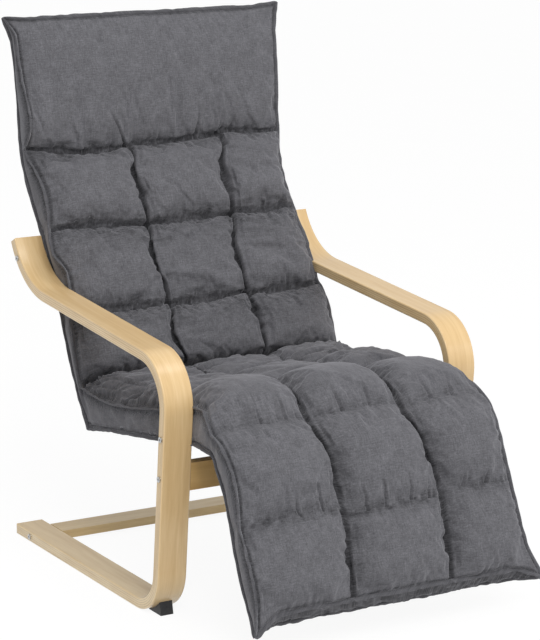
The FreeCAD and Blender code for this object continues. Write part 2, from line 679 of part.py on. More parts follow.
def side_tube(label, vertices, height_alias, middle_x, bolt_place=None):
    """Rectangular tube that follows a bent line, open at its ends."""
    radii = [size["tube_bend_radius"]] * (len(vertices) - 2)
    body = padded_body(label, strip_outline(vertices, radii, size[height_alias]), "Sizes.tube_width")
    first_way = (vertices[1] - vertices[0]).normalize() * size["overrun"]
    last_way = (vertices[-1] - vertices[-2]).normalize() * size["overrun"]
    longer = [vertices[0] - first_way] + vertices[1:-1] + [vertices[-1] + last_way]
    bore = new_sketch(body, label + "_inside")
    to_sketch(bore, strip_outline(longer, radii, size[height_alias] - 2 * size["tube_wall"]))
    before = body.Shape.Volume
    pocket = body.newObject("PartDesign::Pocket", label + "_hollow")
    pocket.Profile = bore
    pocket.Type = "Length"
    pocket.SideType = "Symmetric"
    pocket.setExpression("Length", "Sizes.tube_width - 2 * Sizes.tube_wall")
    doc.recompute()
    if body.Shape.Volume >= before:
        raise RuntimeError(label + " is not hollow")
    if bolt_place is not None:
        holes = new_sketch(body, label + "_bolt_hole")
        add_circles(holes, side_places([bolt_place]), BOLT_BORE, size["bolt_radius"] + size["bore_clearance"])
        cut_through(body, holes, label + "_bolt_pocket")
    body.Placement.Base = X_AXIS * middle_x
    return node(body, label)


def cross_tube(label, line, along, depth, half_span, bolt_bores=()):
    """Square tube across the frame, butted against the side tubes."""
    centre = on_line(line, along, depth)
    angle = line[1]
    span = f"2 * ({half_span} - Sizes.tube_width - Sizes.weld_gap)"
    outside = centred_box(label + "_outside", centre, angle, span, "Sizes.tube_height", "Sizes.tube_height")
    inner_height = "Sizes.tube_height - 2 * Sizes.tube_wall"
    longer = span + " + 2 * Sizes.overrun"
    inside = centred_box(label + "_inside", centre, angle, longer, inner_height, inner_height)
    across = direction(line[2]) * (size["tube_height"] * HALF + size["overrun"])
    tools = [inside]
    for index, x in enumerate(bolt_bores):
        middle = centre + X_AXIS * x
        tools.append(rod(f"{label}_bore_{index}", middle - across, middle + across, BOLT_BORE))
    return node(cut(label, outside, tools), label)


def plate_outline(pivot, angle, reach, height):
    """Flat bar from a round end at the pivot."""
    way = direction(angle)
    side = direction(angle + RIGHT_ANGLE) * (height * HALF)
    far = pivot + way * reach
    round_end = pivot - way * (height * HALF)
    return [(pivot + side, round_end, pivot - side), (pivot - side, far - side), (far - side, far + side),
            (far + side, pivot + side)]


def hinge_plate(label, angle, inner_face_x, side):
    """Knee hinge plate: its inner face lies at a distance from the middle of the chair."""
    outline = plate_outline(knee_pivot, angle, size["hinge_plate_reach"], size["hinge_plate_height"])
    body = padded_body(label, outline, "Sizes.hinge_plate_thickness")
    hole = new_sketch(body, label + "_pin_hole")
    radius = size["hinge_pin_radius"] + size["hinge_pin_clearance"]
    add_circles(hole, side_places([knee_pivot]), PIN_BORE, radius)
    cut_through(body, hole, label + "_pin_pocket")
    body.Placement.Base = X_AXIS * side * (inner_face_x + size["hinge_plate_thickness"] * HALF)
    return node(body, label)


def knee_hinge(side_name, side):
    """Fixed plate on the seat tube, moving plate on the leg rest tube, washer and riveted pin."""
    hinge_plate(f"hinge_fixed_plate_{side_name}", SEAT_ANGLE + HALF_TURN, FIXED_PLATE_X, side)
    hinge_plate(f"hinge_moving_plate_{side_name}", LEG_ANGLE, MOVING_PLATE_X, side)
    washer_start = knee_pivot + X_AXIS * side * (FIXED_PLATE_X - size["hinge_washer_thickness"])
    washer_end = knee_pivot + X_AXIS * side * FIXED_PLATE_X
    disc = rod(f"hinge_washer_{side_name}_disc", washer_start, washer_end, "Sizes.hinge_washer_radius")
    run = X_AXIS * side * size["overrun"]
    bore = rod(f"hinge_washer_{side_name}_bore", washer_start - run, washer_end + run, PIN_BORE)
    node(cut(f"hinge_washer_{side_name}", disc, [bore]), f"hinge_washer_{side_name}")
    inner_end = X_AXIS * side * (MOVING_PLATE_X - size["hinge_pin_clearance"])
    outer_end = X_AXIS * side * (FIXED_PLATE_X + size["hinge_plate_thickness"])
    head = X_AXIS * side * size["hinge_pin_head_height"]
    name = f"hinge_pin_{side_name}"
    shank = rod(name + "_shank", knee_pivot + inner_end, knee_pivot + outer_end, "Sizes.hinge_pin_radius")
    inner_head = rod(name + "_inner_head", knee_pivot + inner_end - head, knee_pivot + inner_end, PIN_HEAD)
    outer_head = rod(name + "_outer_head", knee_pivot + outer_end, knee_pivot + outer_end + head, PIN_HEAD)
    pin = doc.addObject("Part::MultiFuse", name)
    pin.Shapes = [shank, inner_head, outer_head]
    node(pin, name)


PIN_HEAD = "Sizes.hinge_pin_head_radius"
PIN_BORE = "Sizes.hinge_pin_radius + Sizes.hinge_pin_clearance"
LEG_SPAN = (f"({HALF_SPAN} - Sizes.hinge_washer_thickness - Sizes.hinge_pin_clearance"
            " - Sizes.hinge_plate_thickness)")
FIXED_PLATE_X = half_span
MOVING_PLATE_X = (FIXED_PLATE_X - size["hinge_washer_thickness"] - size["hinge_pin_clearance"]
                  - size["hinge_plate_thickness"])
LEG_TUBE_MIDDLE_X = MOVING_PLATE_X - size["tube_width"] * HALF
SEAT_TUBE_MIDDLE_X = half_span - size["tube_width"] * HALF


seat_tube_start = on_line(SEAT_LINE, 0, size["seat_tube_depth"])
leg_tube_start = on_line(LEG_LINE, 0, size["leg_tube_depth"])
back_tube_foot = on_line(LOWER_LINE, 0, size["back_tube_depth"])
knee_pivot = crossing(seat_tube_start, SEAT_ANGLE, leg_tube_start, LEG_ANGLE)
frame_corner = crossing(seat_tube_start, SEAT_ANGLE, back_tube_foot, LOWER_ANGLE)
pivot_on_seat = along_of(SEAT_LINE, knee_pivot)
pivot_on_leg = along_of(LEG_LINE, knee_pivot)
arm_bolt_on_back = along_of(LOWER_LINE, arm_bolt)


def back_tube_start():
    """Lower end of the back tubes: their rear corner just clears the top of the seat tubes."""
    between = math.radians(HALF_TURN - SEAT_ANGLE + LOWER_ANGLE)
    seat_top = size["seat_tube_depth"] + size["seat_tube_height"] * HALF + size["weld_gap"]
    rear_face = size["back_tube_depth"] - size["tube_height"] * HALF
    return (seat_top - rear_face * math.cos(between)) / math.sin(between)


def seat_frame():
    tube_gap = size["hinge_plate_height"] * HALF + size["soft_gap"]
    front = on_line(SEAT_LINE, pivot_on_seat - tube_gap, size["seat_tube_depth"])
    rear = on_line(SEAT_LINE, 0, size["seat_tube_depth"])
    for side_name, side in SIDES:
        side_tube(f"seat_side_tube_{side_name}", [rear, front], "seat_tube_height", side * SEAT_TUBE_MIDDLE_X,
                  upper_bolt)
    depth = size["seat_tube_depth"]
    rear_place = size["tube_height"] * HALF + size["cross_tube_margin"]
    roll_edge = pivot_on_seat - size["knee_roll_radius"] - size["soft_gap"]
    front_place = roll_edge - size["tube_height"] * HALF - size["cross_tube_margin"]
    cross_tube("seat_rear_tube", SEAT_LINE, rear_place, depth, HALF_SPAN)
    cross_tube("seat_front_tube", SEAT_LINE, front_place, depth, HALF_SPAN)


def back_frame():
    depth = size["back_tube_depth"]
    line = offset_vertices([rear_corner, waist, neck, top], depth)
    line[0] = on_line(LOWER_LINE, back_tube_start(), depth)
    line[-1] = on_line(HEAD_LINE, size["head_length"] - size["tube_top_margin"], depth)
    for side_name, side in SIDES:
        side_tube(f"back_side_tube_{side_name}", line, "tube_height", side * SEAT_TUBE_MIDDLE_X)
    margin = size["tube_height"] * HALF + size["cross_tube_margin"]
    top_place = size["head_length"] - size["tube_top_margin"] - margin
    cross_tube("back_lower_tube", LOWER_LINE, back_tube_start() + margin, depth, HALF_SPAN)
    cross_tube("back_middle_tube", LOWER_LINE, arm_bolt_on_back, depth, HALF_SPAN, BACK_BOLT_PLACES)
    cross_tube("back_top_tube", HEAD_LINE, top_place, depth, HALF_SPAN)


def leg_rest_frame():
    depth = size["leg_tube_depth"]
    tube_gap = size["hinge_plate_height"] * HALF + size["soft_gap"]
    start = on_line(LEG_LINE, pivot_on_leg + tube_gap, depth)
    end_place = size["leg_rest_length"] - size["tube_end_margin"]
    for side_name, side in SIDES:
        side_tube(f"leg_rest_side_tube_{side_name}", [start, on_line(LEG_LINE, end_place, depth)],
                  "tube_height", side * LEG_TUBE_MIDDLE_X)
    margin = size["tube_height"] * HALF + size["cross_tube_margin"]
    roll_edge = pivot_on_leg + size["knee_roll_radius"] + size["soft_gap"]
    cross_tube("leg_rest_top_tube", LEG_LINE, roll_edge + margin, depth, LEG_SPAN)
    cross_tube("leg_rest_end_tube", LEG_LINE, end_place - margin, depth, LEG_SPAN)


def corner_plate(side_name, side):
    """Bent plate welded to the outer faces of the seat and back tubes."""
    label = f"corner_plate_{side_name}"
    seat_arm = frame_corner + direction(SEAT_ANGLE) * size["corner_plate_reach"]
    back_arm = frame_corner + direction(LOWER_ANGLE) * size["corner_plate_reach"]
    outline = strip_outline([back_arm, frame_corner, seat_arm], [size["corner_plate_bend"]],
                            size["corner_plate_height"])
    body = padded_body(label, outline, "Sizes.corner_plate_thickness")
    middle_x = half_span + size["corner_plate_thickness"] * HALF
    body.Placement.Base = X_AXIS * side * middle_x
    return node(body, label)


def spacer(name, start, end):
    """Sleeve on a bolt."""
    run = (end - start).normalize() * size["overrun"]
    sleeve = rod(name + "_sleeve", start, end, "Sizes.spacer_radius")
    return cut(name, sleeve, [rod(name + "_bore", start - run, end + run, BOLT_BORE)])


def seat_fasteners():
    """Bolts through the legs and spacers into nuts inside the seat tubes."""
    shank = (outer_x - half_span + size["tube_wall"] + size["nut_height"]
             + size["bolt_end_past_nut"])
    frame_bolts("seat_bolts", upper_bolt, shank)
    spacers = []
    nuts = []
    for side_name, side in SIDES:
        outward = X_AXIS * side
        tube_face = upper_bolt + outward * half_span
        spacers.append(spacer(f"seat_spacer_{side_name}", tube_face, upper_bolt + outward * inner_x))
        nut_face = tube_face - outward * size["tube_wall"]
        nuts.append(nut(f"seat_nut_{side_name}", nut_face, -outward))
    node(group("seat_bolt_spacers", spacers), "seat_bolt_spacers")
    node(group("seat_bolt_nuts", nuts), "seat_bolt_nuts")


def back_fasteners():
    """Bolts from the back rail through spacers into nuts inside the back's middle tube."""
    facing = direction(LOWER_LINE[2])
    rail_depth = depth_of(LOWER_LINE, arm_bolt)
    rail_rear = rail_depth - size["back_rail_thickness"] * HALF
    rail_front = rail_depth + size["back_rail_thickness"] * HALF
    tube_rear = size["back_tube_depth"] - size["tube_height"] * HALF
    nut_rear = tube_rear + size["tube_wall"]
    bolts = []
    spacers = []
    nuts = []
    for (side_name, side), x in zip(SIDES, BACK_BOLT_PLACES):
        def place(depth):
            return on_line(LOWER_LINE, arm_bolt_on_back, depth) + X_AXIS * x
        shank = nut_rear + size["nut_height"] + size["bolt_end_past_nut"] - rail_rear
        bolts.append(bolt(f"back_bolt_{side_name}", place(rail_rear), facing, shank))
        spacers.append(spacer(f"back_spacer_{side_name}", place(rail_front), place(tube_rear)))
        nuts.append(nut(f"back_nut_{side_name}", place(nut_rear), facing))
    node(group("back_rail_bolts", bolts), "back_rail_bolts")
    node(group("back_bolt_spacers", spacers), "back_bolt_spacers")
    node(group("back_bolt_nuts", nuts), "back_bolt_nuts")


def straps(label, spans, tube_depth, tube_height, half_span):
    """Webbing across the tubes; each span is a section, where it starts and ends, and its strap count."""
    made = []
    depth = tube_depth + (tube_height + size["strap_thickness"]) * HALF
    length = f"2 * ({half_span} - Sizes.strap_end_inset)"
    for line, start, end, count in spans:
        for index in range(round(count)):
            along = start + (end - start) * (index + HALF) / round(count)
            name = f"{label}_{len(made)}"
            made.append(centred_box(name, on_line(line, along, depth), line[1], length,
                                    "Sizes.strap_width", "Sizes.strap_thickness"))
    return node(group(label, made), label)


def webbing():
    bend = size["tube_bend_radius"] * math.tan(math.radians(LOWER_ANGLE - UPPER_ANGLE) * -HALF)
    head_end = size["head_length"] - size["tube_top_margin"]
    back_spans = ((LOWER_LINE, back_tube_start(), size["lower_back_length"] - bend, size["lower_strap_count"]),
                  (UPPER_LINE, bend, size["upper_back_length"] - bend, size["upper_strap_count"]),
                  (HEAD_LINE, bend, head_end, size["head_strap_count"]))
    straps("back_straps", back_spans, size["back_tube_depth"], size["tube_height"], HALF_SPAN)
    seat_start = size["crease_distance"]
    seat_end = pivot_on_seat - size["knee_roll_radius"] - size["soft_gap"]
    seat_spans = ((SEAT_LINE, seat_start, seat_end, size["seat_strap_count"]),)
    straps("seat_straps", seat_spans, size["seat_tube_depth"], size["seat_tube_height"], HALF_SPAN)
    leg_start = pivot_on_leg + size["knee_roll_radius"] + size["soft_gap"]
    leg_end_place = size["leg_rest_length"] - size["tube_end_margin"]
    leg_spans = ((LEG_LINE, leg_start, leg_end_place, size["leg_strap_count"]),)
    straps("leg_rest_straps", leg_spans, size["leg_tube_depth"], size["tube_height"], LEG_SPAN)


# Soft pieces

def section(name, origin, facing, half_width, side_height, crown):
    """Cross section of a cushion: flat rear, swelling sides and three crowned tufts."""
    sketch = doc.addObject("Sketcher::SketchObject", name)
    sketch.Placement = Placement(origin, Rotation(X_AXIS, facing))
    base = size["cover_thickness"] + size["soft_gap"]
    edge_x = half_width - size["side_bulge"]
    channel_x = half_width / TUFT_COLUMNS
    floor = [Vector(x, base, 0) for x in (-edge_x, edge_x)]
    ridge = [Vector(x, side_height, 0) for x in (edge_x, channel_x, -channel_x, -edge_x)]
    swell = [Vector(x, (base + side_height) * HALF, 0) for x in (half_width, -half_width)]
    edges = [floor, (floor[1], swell[0], ridge[0])]
    for start, end in zip(ridge, ridge[1:]):
        edges.append((start, (start + end) * HALF + Vector(0, crown, 0), end))
    edges.append((ridge[-1], swell[1], floor[0]))
    draw(sketch, edges)
    return sketch


TUFT_COLUMNS = 3
SECTIONS_PER_TUFT = 6
NARROW = inner_x - size["cushion_side_gap"]
WIDE = NARROW + size["pillow_overhang"]
SEAM_CROWN = size["seam_crown_height"]


def cushion(name, place, half_width_at, rows, tufts):
    """Loft over rounded tufts between sewn rows.

    place gives the rear face and the facing angle at a distance, half_width_at the half width at a point,
    rows the distance and the side height of each sewn row, and tufts the side height and the crown at the
    middle between two rows.
    """
    sections = []

    def add_section(along, side_height, crown):
        origin, facing = place(along)
        label = f"{name}_section_{len(sections)}"
        sections.append(section(label, origin, facing, half_width_at(origin), side_height, crown))

    for (start, low), (end, next_low), (welt, crown) in zip(rows, rows[1:], tufts):
        for step in range(round(SECTIONS_PER_TUFT)):
            share = step / round(SECTIONS_PER_TUFT)
            swell = math.sin(math.pi * share)
            seam = low + (next_low - low) * share
            add_section(start + (end - start) * share, seam + (welt - seam) * swell,
                        SEAM_CROWN + (crown - SEAM_CROWN) * swell)
    add_section(*rows[-1], SEAM_CROWN)
    loft = doc.addObject("Part::Loft", name)
    loft.Sections = sections
    loft.Solid = True
    loft.Ruled = True
    doc.recompute()
    return loft


def cavity(name, vertices, start_depth, end_depth):
    """Room for the frame inside a cushion, along a line on its rear face."""
    middle = offset_vertices(vertices, (start_depth + end_depth) * HALF)
    radii = [size["tube_bend_radius"]] * (len(vertices) - 2)
    outline = strip_outline(middle, radii, abs(end_depth - start_depth))
    return padded_body(name, outline, f"2 * ({HALF_SPAN} + Sizes.cavity_side_clearance)")


def knee_clearance(name):
    """Round room for the knee roll and the hinge through a whole cushion."""
    reach = X_AXIS * (WIDE + size["overrun"])
    return rod(name, knee_pivot - reach, knee_pivot + reach, "Sizes.knee_roll_radius + Sizes.soft_gap")


def back_place(along):
    """Rear face of the back at a distance from the rear corner, and which way the cross section looks there."""
    waist_along = size["lower_back_length"]
    neck_along = waist_along + size["upper_back_length"]
    run = size["back_bend_run"]
    turn_at_waist = min(max((along - waist_along + run) / (2 * run), 0), 1)
    turn_at_neck = min(max((along - neck_along + run) / (2 * run), 0), 1)
    facing = (LOWER_LINE[2] + (UPPER_LINE[2] - LOWER_LINE[2]) * turn_at_waist
              + (HEAD_LINE[2] - UPPER_LINE[2]) * turn_at_neck)
    if along < waist_along:
        return on_line(LOWER_LINE, along, 0), facing
    if along < neck_along:
        return on_line(UPPER_LINE, along - waist_along, 0), facing
    return on_line(HEAD_LINE, along - neck_along, 0), facing


def back_cushion():
    seam = size["back_seam_height"]
    back_end = size["lower_back_length"] + size["upper_back_length"] + size["head_length"]
    rows = [(size["crease_distance"], seam), (size["first_back_row"], seam), (size["second_back_row"], seam),
            (size["third_back_row"], size["head_seam_height"]), (back_end, size["top_seam_height"])]
    tuft = (size["back_welt_height"], size["back_crown_height"])
    tufts = [tuft, tuft, tuft, (size["head_welt_height"], size["head_crown_height"])]

    def half_width_at(origin):
        return WIDE if origin.z > size["wide_above"] else NARROW

    whole = cushion("back_cushion_form", back_place, half_width_at, rows, tufts)
    depth = size["back_tube_depth"] + size["tube_height"] * HALF + size["strap_thickness"] + size["soft_gap"]
    end = on_line(HEAD_LINE, size["head_length"] - size["cavity_top_margin"], 0)
    room = cavity("back_cushion_room", [rear_corner, waist, neck, end], -size["overrun"], depth)
    return node(cut("back_cushion", whole, [room]), "back_cushion")


def seat_place(along):
    """Underside of the seat at a distance from the rear corner; the last cross sections turn with the knee."""
    turn_start = SEAT_END - size["seat_turn_run"]
    turn = min(max((along - turn_start) / size["seat_turn_run"], 0), 1)
    facing = SEAT_LINE[2] + (size["seat_front_face_angle"] - SEAT_LINE[2]) * turn
    return on_line(SEAT_LINE, along, 0), facing


# The front face of the seat cushion passes through the hinge line
SEAT_END = pivot_on_seat - size["seat_tube_depth"] * math.tan(
    math.radians(size["seat_front_face_angle"] - SEAT_LINE[2]))


def seat_cushion():
    seam = size["seat_seam_height"]
    rows = [(size["seat_rear_gap"], size["seat_rear_height"]), (size["first_seat_row"], seam),
            (size["second_seat_row"], seam), (SEAT_END, size["knee_seam_height"])]
    seat_tuft = (size["seat_welt_height"], size["seat_crown_height"])
    tufts = [seat_tuft, seat_tuft, (size["knee_welt_height"], size["knee_crown_height"])]
    whole = cushion("seat_cushion_form", seat_place, lambda origin: NARROW, rows, tufts)
    depth = size["seat_tube_depth"] + size["seat_tube_height"] * HALF + size["strap_thickness"] + size["soft_gap"]
    run = direction(SEAT_ANGLE) * size["overrun"]
    line = [knee + run, rear_corner - run]
    room = cavity("seat_cushion_room", line, -size["overrun"], depth)
    reach = X_AXIS * (WIDE + size["overrun"])
    bolts = rod("seat_cushion_bolt_room", upper_bolt - reach, upper_bolt + reach,
                "Sizes.spacer_radius + Sizes.soft_gap")
    return node(cut("seat_cushion", whole, [room, bolts, knee_clearance("seat_knee_room")]), "seat_cushion")


def leg_rest_place(along):
    return on_line(LEG_LINE, along, 0), LEG_LINE[2]


def leg_rest_cushion():
    end = size["leg_rest_length"]
    rows = [(pivot_on_leg, size["knee_seam_height"]), (size["leg_rest_row"], size["leg_seam_height"]),
            (end, size["leg_end_height"])]
    crown = size["leg_crown_height"]
    tufts = [(size["leg_upper_welt_height"], crown), (size["leg_lower_welt_height"], crown)]
    whole = cushion("leg_rest_cushion_form", leg_rest_place, lambda origin: WIDE, rows, tufts)
    depth = size["leg_tube_depth"] + size["tube_height"] * HALF + size["strap_thickness"] + size["soft_gap"]
    run = direction(LEG_ANGLE) * (size["knee_roll_radius"] + size["overrun"])
    room_end = on_line(LEG_LINE, end - size["cavity_end_margin"], 0)
    room = cavity("leg_rest_cushion_room", [room_end, knee - run], -size["overrun"], depth)
    tools = [room, knee_clearance("leg_rest_knee_room")]
    return node(cut("leg_rest_cushion", whole, tools), "leg_rest_cushion")


def knee_roll():
    """Round foam along the hinge line; its axis is the hinge's, so it stays clear as the leg rest turns."""
    reach = X_AXIS * (half_span - size["tube_width"] - size["knee_roll_end_gap"])
    node(rod("knee_roll", knee_pivot - reach, knee_pivot + reach, "Sizes.knee_roll_radius"), "knee_roll")


def covers():
    """Fabric panels that close the back, the underside and the rear of the leg rest."""
    thickness = size["cover_thickness"]
    gap = size["soft_gap"]
    middle = thickness * HALF
    back_line = offset_vertices([rear_corner, waist, neck, top], middle)
    back_line[0] = on_line(LOWER_LINE, thickness + gap, middle)
    outline = strip_outline(back_line, [size["cover_bend_radius"]] * 2, thickness)
    panel = padded_body("back_cover_panel", outline, COVER_WIDTH)
    bores = []
    for (side_name, side), x in zip(SIDES, BACK_BOLT_PLACES):
        place = on_line(LOWER_LINE, arm_bolt_on_back, 0) + X_AXIS * x
        reach = direction(LOWER_LINE[2]) * size["overrun"]
        bores.append(rod(f"back_cover_bore_{side_name}", place - reach, place + reach,
                         "Sizes.spacer_radius + Sizes.soft_gap"))
    node(cut("back_cover", panel, bores), "back_cover")
    knee_gap = size["knee_cover_gap"]
    seat_line = [on_line(SEAT_LINE, 0, middle), on_line(SEAT_LINE, size["seat_length"] - knee_gap, middle)]
    seat = padded_body("seat_under_cover", strip_outline(seat_line, [], thickness), COVER_WIDTH)
    node(seat, "seat_under_cover")
    leg_line = [on_line(LEG_LINE, knee_gap, middle), on_line(LEG_LINE, size["leg_rest_length"], middle)]
    leg = padded_body("leg_rest_rear_cover", strip_outline(leg_line, [], thickness), COVER_WIDTH)
    node(leg, "leg_rest_rear_cover")


COVER_WIDTH = ("2 * (Sizes.overall_width / 2 - Sizes.strip_width - Sizes.cushion_side_gap"
               " - Sizes.cover_thickness)")

for side_name, side in SIDES:
    side_frame(f"side_frame_{side_name}", side)
for rail in CROSS_RAILS:
    cross_rail(*rail)
barrel_nuts()
rail_dowels()
rail_shank = size["strip_width"] + size["bolt_grip_in_rail"]
frame_bolts("front_rail_bolts", lower_bolt, rail_shank)
frame_bolts("floor_rail_bolts", runner_bolt, rail_shank)
frame_bolts("arm_bolts", arm_bolt, rail_shank)
feet_and_screws()
seat_frame()
back_frame()
leg_rest_frame()
for side_name, side in SIDES:
    corner_plate(side_name, side)
    knee_hinge(side_name, side)
seat_fasteners()
back_fasteners()
webbing()
back_cushion()
seat_cushion()
leg_rest_cushion()
knee_roll()
covers()
doc.recompute()

# The origin goes to the middle of the chair's box, on the floor
boxes = [piece.Shape.optimalBoundingBox() for piece in nodes]
rearmost = max(box.YMax for box in boxes)
foremost = min(box.YMin for box in boxes)
centre_shift = at(-(rearmost + foremost) * HALF, 0)
for piece in nodes:
    piece.Placement = Placement(centre_shift, Rotation()) * piece.Placement
doc.recompute()

faults = [item.Name for item in doc.Objects if "Invalid" in item.State or "Error" in item.State]
faults += [piece.Label for piece in nodes if piece.Shape.isNull() or not piece.Shape.isValid()]
if faults:
    raise RuntimeError("failed: " + ", ".join(faults))

os.makedirs("parts", exist_ok=True)
for piece in nodes:
    piece.Shape.exportStep(f"parts/{piece.Label}.step")
print("wrote", len(nodes), "parts; origin moved by", round(centre_shift.y, 3), "mm")
print("knee pivot at y", round(knee_pivot.y + centre_shift.y, 3), "z", round(knee_pivot.z, 3))
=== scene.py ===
"""Looks of a bentwood lounge chair with a quilted cushion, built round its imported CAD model."""
import json
import math

import bpy
import numpy as np
from mathutils import Matrix, Vector


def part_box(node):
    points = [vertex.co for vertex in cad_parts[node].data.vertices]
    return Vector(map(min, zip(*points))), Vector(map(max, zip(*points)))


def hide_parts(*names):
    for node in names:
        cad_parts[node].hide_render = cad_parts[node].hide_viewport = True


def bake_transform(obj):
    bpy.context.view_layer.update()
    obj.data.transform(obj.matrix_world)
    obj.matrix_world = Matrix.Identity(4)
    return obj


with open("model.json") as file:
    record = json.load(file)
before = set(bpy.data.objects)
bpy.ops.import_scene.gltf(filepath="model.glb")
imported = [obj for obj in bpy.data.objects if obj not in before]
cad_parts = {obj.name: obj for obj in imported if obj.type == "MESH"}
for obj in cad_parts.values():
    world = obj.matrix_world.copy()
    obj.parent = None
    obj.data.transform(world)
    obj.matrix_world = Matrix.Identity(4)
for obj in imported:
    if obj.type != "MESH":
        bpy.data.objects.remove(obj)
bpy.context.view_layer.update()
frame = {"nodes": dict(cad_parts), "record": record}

# The side drawing of the chair has y = 0 at the front bend of the floor runners. Its points are in mm here,
# and the floor rail, which the drawing puts at y = 528.7 mm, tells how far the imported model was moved.
MM = 0.001
RAIL_PLACE_Y = 528.7
rail_low, rail_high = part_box("floor_cross_rail")
SHIFT = Vector((0, (rail_low.y + rail_high.y) / 2 - RAIL_PLACE_Y * MM, 0))


def place(x, y, z):
    """A point of the side drawing, in mm, in the frame's metres."""
    return Vector((x * MM, y * MM, z * MM)) + SHIFT


# Shader nodes


class Nodes:
    """Builds a material's nodes; a value is a socket or a plain number."""

    def __init__(self, tree):
        self.tree = tree

    def add(self, kind, inputs=(), output=0, **settings):
        node = self.tree.nodes.new(kind)
        for key, value in settings.items():
            setattr(node, key, value)
        self.feed(node, inputs if isinstance(inputs, dict) else dict(enumerate(inputs)))
        return node.outputs[output]

    def feed(self, node, values):
        """Links or sets a node's inputs, given by name or by number."""
        for key, value in values.items():
            if isinstance(value, bpy.types.NodeSocket):
                self.tree.links.new(value, node.inputs[key])
            elif value is not None:
                node.inputs[key].default_value = value

    def math(self, operation, a, b=None):
        return self.add("ShaderNodeMath", (a, b), operation=operation)

    def plus(self, a, b):
        return self.math("ADD", a, b)

    def minus(self, a, b):
        return self.math("SUBTRACT", a, b)

    def times(self, a, b):
        return self.math("MULTIPLY", a, b)

    def sum(self, *products):
        """Sum of products, each given as its two factors."""
        total = self.times(*products[0])
        for factors in products[1:]:
            total = self.plus(total, self.times(*factors))
        return total

    def stretched(self, vector, *factors):
        return self.add("ShaderNodeVectorMath", (vector, factors), operation="MULTIPLY")

    def combine(self, *parts):
        return self.add("ShaderNodeCombineXYZ", parts)

    def split(self, vector):
        return self.add("ShaderNodeSeparateXYZ", (vector,)).node.outputs

    def noise(self, vector, scale, detail=2, roughness=0.5, distortion=0):
        return self.add("ShaderNodeTexNoise", {"Vector": vector, "Scale": scale, "Detail": detail,
                                               "Roughness": roughness, "Distortion": distortion})

    def ramp(self, value, *stops):
        node = self.tree.nodes.new("ShaderNodeValToRGB")
        self.feed(node, {0: value})
        elements = node.color_ramp.elements
        while len(elements) < len(stops):
            elements.new(1)
        for element, (position, colour) in zip(elements, stops):
            element.position = position
            element.color = (*colour, 1)
        return node.outputs[0]

    def remap(self, value, low, high, to_low, to_high):
        return self.add("ShaderNodeMapRange", (value, low, high, to_low, to_high))

    def mix(self, factor, a, b, blend="MIX"):
        a, b = ((*value, 1) if isinstance(value, tuple) else value for value in (a, b))
        return self.add("ShaderNodeMix", {0: factor, 6: a, 7: b}, 2, data_type="RGBA", blend_type=blend)

    def bump(self, height, strength, distance, normal=None):
        return self.add("ShaderNodeBump", {"Height": height, "Strength": strength, "Distance": distance,
                                           "Normal": normal})


def new_material(name):
    material = bpy.data.materials.new(name)
    material.use_nodes = True
    tree = material.node_tree
    return material, Nodes(tree), tree.nodes["Principled BSDF"]


FABRIC_COLOUR = (0.116, 0.115, 0.125)


def fabric_material(name, light):
    """Brushed woven suede: fine streaks along and across the panel, soft cloudy nap, light sheen, and painted
    shade in the creases from a point attribute; light below 1 makes a copy with painted shade all over.
    """
    material, n, shader = new_material(name)
    uv = n.add("ShaderNodeAttribute", output=1, attribute_name="cloth")
    clouds = n.noise(uv, 34, 3, 0.6)
    across = n.noise(n.stretched(uv, 80, 400, 1), 1, 2, 0.6)
    along = n.noise(n.stretched(uv, 380, 70, 1), 1, 2, 0.6)
    grit = n.noise(uv, 470, 2, 0.6)
    streaks = n.sum((across, 0.5), (along, 0.5))
    level = n.sum((streaks, 0.5), (grit, 0.32), (clouds, 0.18))
    dark, middle, pale = (tuple(c * share * light for c in FABRIC_COLOUR) for share in (0.6, 0.98, 1.56))
    colour = n.ramp(level, (0.36, dark), (0.5, middle), (0.66, pale))
    # Painted shade: the point attribute, crinkled by noise, darkens the colour down to 0.4 in creases,
    # crevices and grooves, and also gives a soft bump
    shade_crinkle = n.remap(n.noise(n.stretched(uv, 110, 330, 1), 1, 3, 0.65), 0.36, 0.64, 0.35, 1.5)
    painted_shade = n.times(n.add("ShaderNodeAttribute", output=2, attribute_name="painted_fold_shade"), shade_crinkle)
    shade = n.remap(painted_shade, 0, 1, 1, 0.4)
    height = n.sum((streaks, 0.7), (grit, 0.3))
    soft_normal = n.bump(painted_shade, 0.5, 0.003, n.bump(clouds, 0.25, 0.004))
    n.feed(shader, {"Base Color": n.mix(1, colour, n.combine(shade, shade, shade), "MULTIPLY"),
                    "Roughness": 0.95, "Specular IOR Level": 0.15, "Sheen Weight": 0.35,
                    "Sheen Roughness": 0.45, "Sheen Tint": (0.8, 0.8, 0.85, 1),
                    "Normal": n.bump(height, 0.5, 0.0012, soft_normal)})
    return material


def simple_material(name, colour, roughness, metallic, scale, variation, bump):
    """Moulded or metal surface with a little cloudy variation and a fine texture."""
    material, n, shader = new_material(name)
    position = n.add("ShaderNodeTexCoord", output=3)
    clouds = n.noise(position, scale, 4, 0.6)
    fine = n.noise(position, scale * 18)
    low = tuple(c * (1 - variation) for c in colour)
    high = tuple(min(c * (1 + variation), 1) for c in colour)
    rough = n.remap(clouds, 0.3, 0.7, roughness * 0.85, min(roughness * 1.15, 1))
    n.feed(shader, {"Base Color": n.ramp(clouds, (0.3, low), (0.7, high)), "Roughness": rough,
                    "Metallic": metallic, "Normal": n.bump(fine, 0.35, bump)})
    return material


# Camera, fitted to the corners of the side frames in the photograph

CAMERA_PLACE = Vector((-2.387, -3.890, 1.547)) + SHIFT
CAMERA_AZIMUTH = math.radians(-30.54)
CAMERA_PITCH = math.radians(12.68)
CAMERA_ROLL = math.radians(0.24)
SENSOR = 36
# The fitted lens and the height of the photograph, in pixels
LENS_PIXELS = 2536
PHOTO_PIXELS = 640


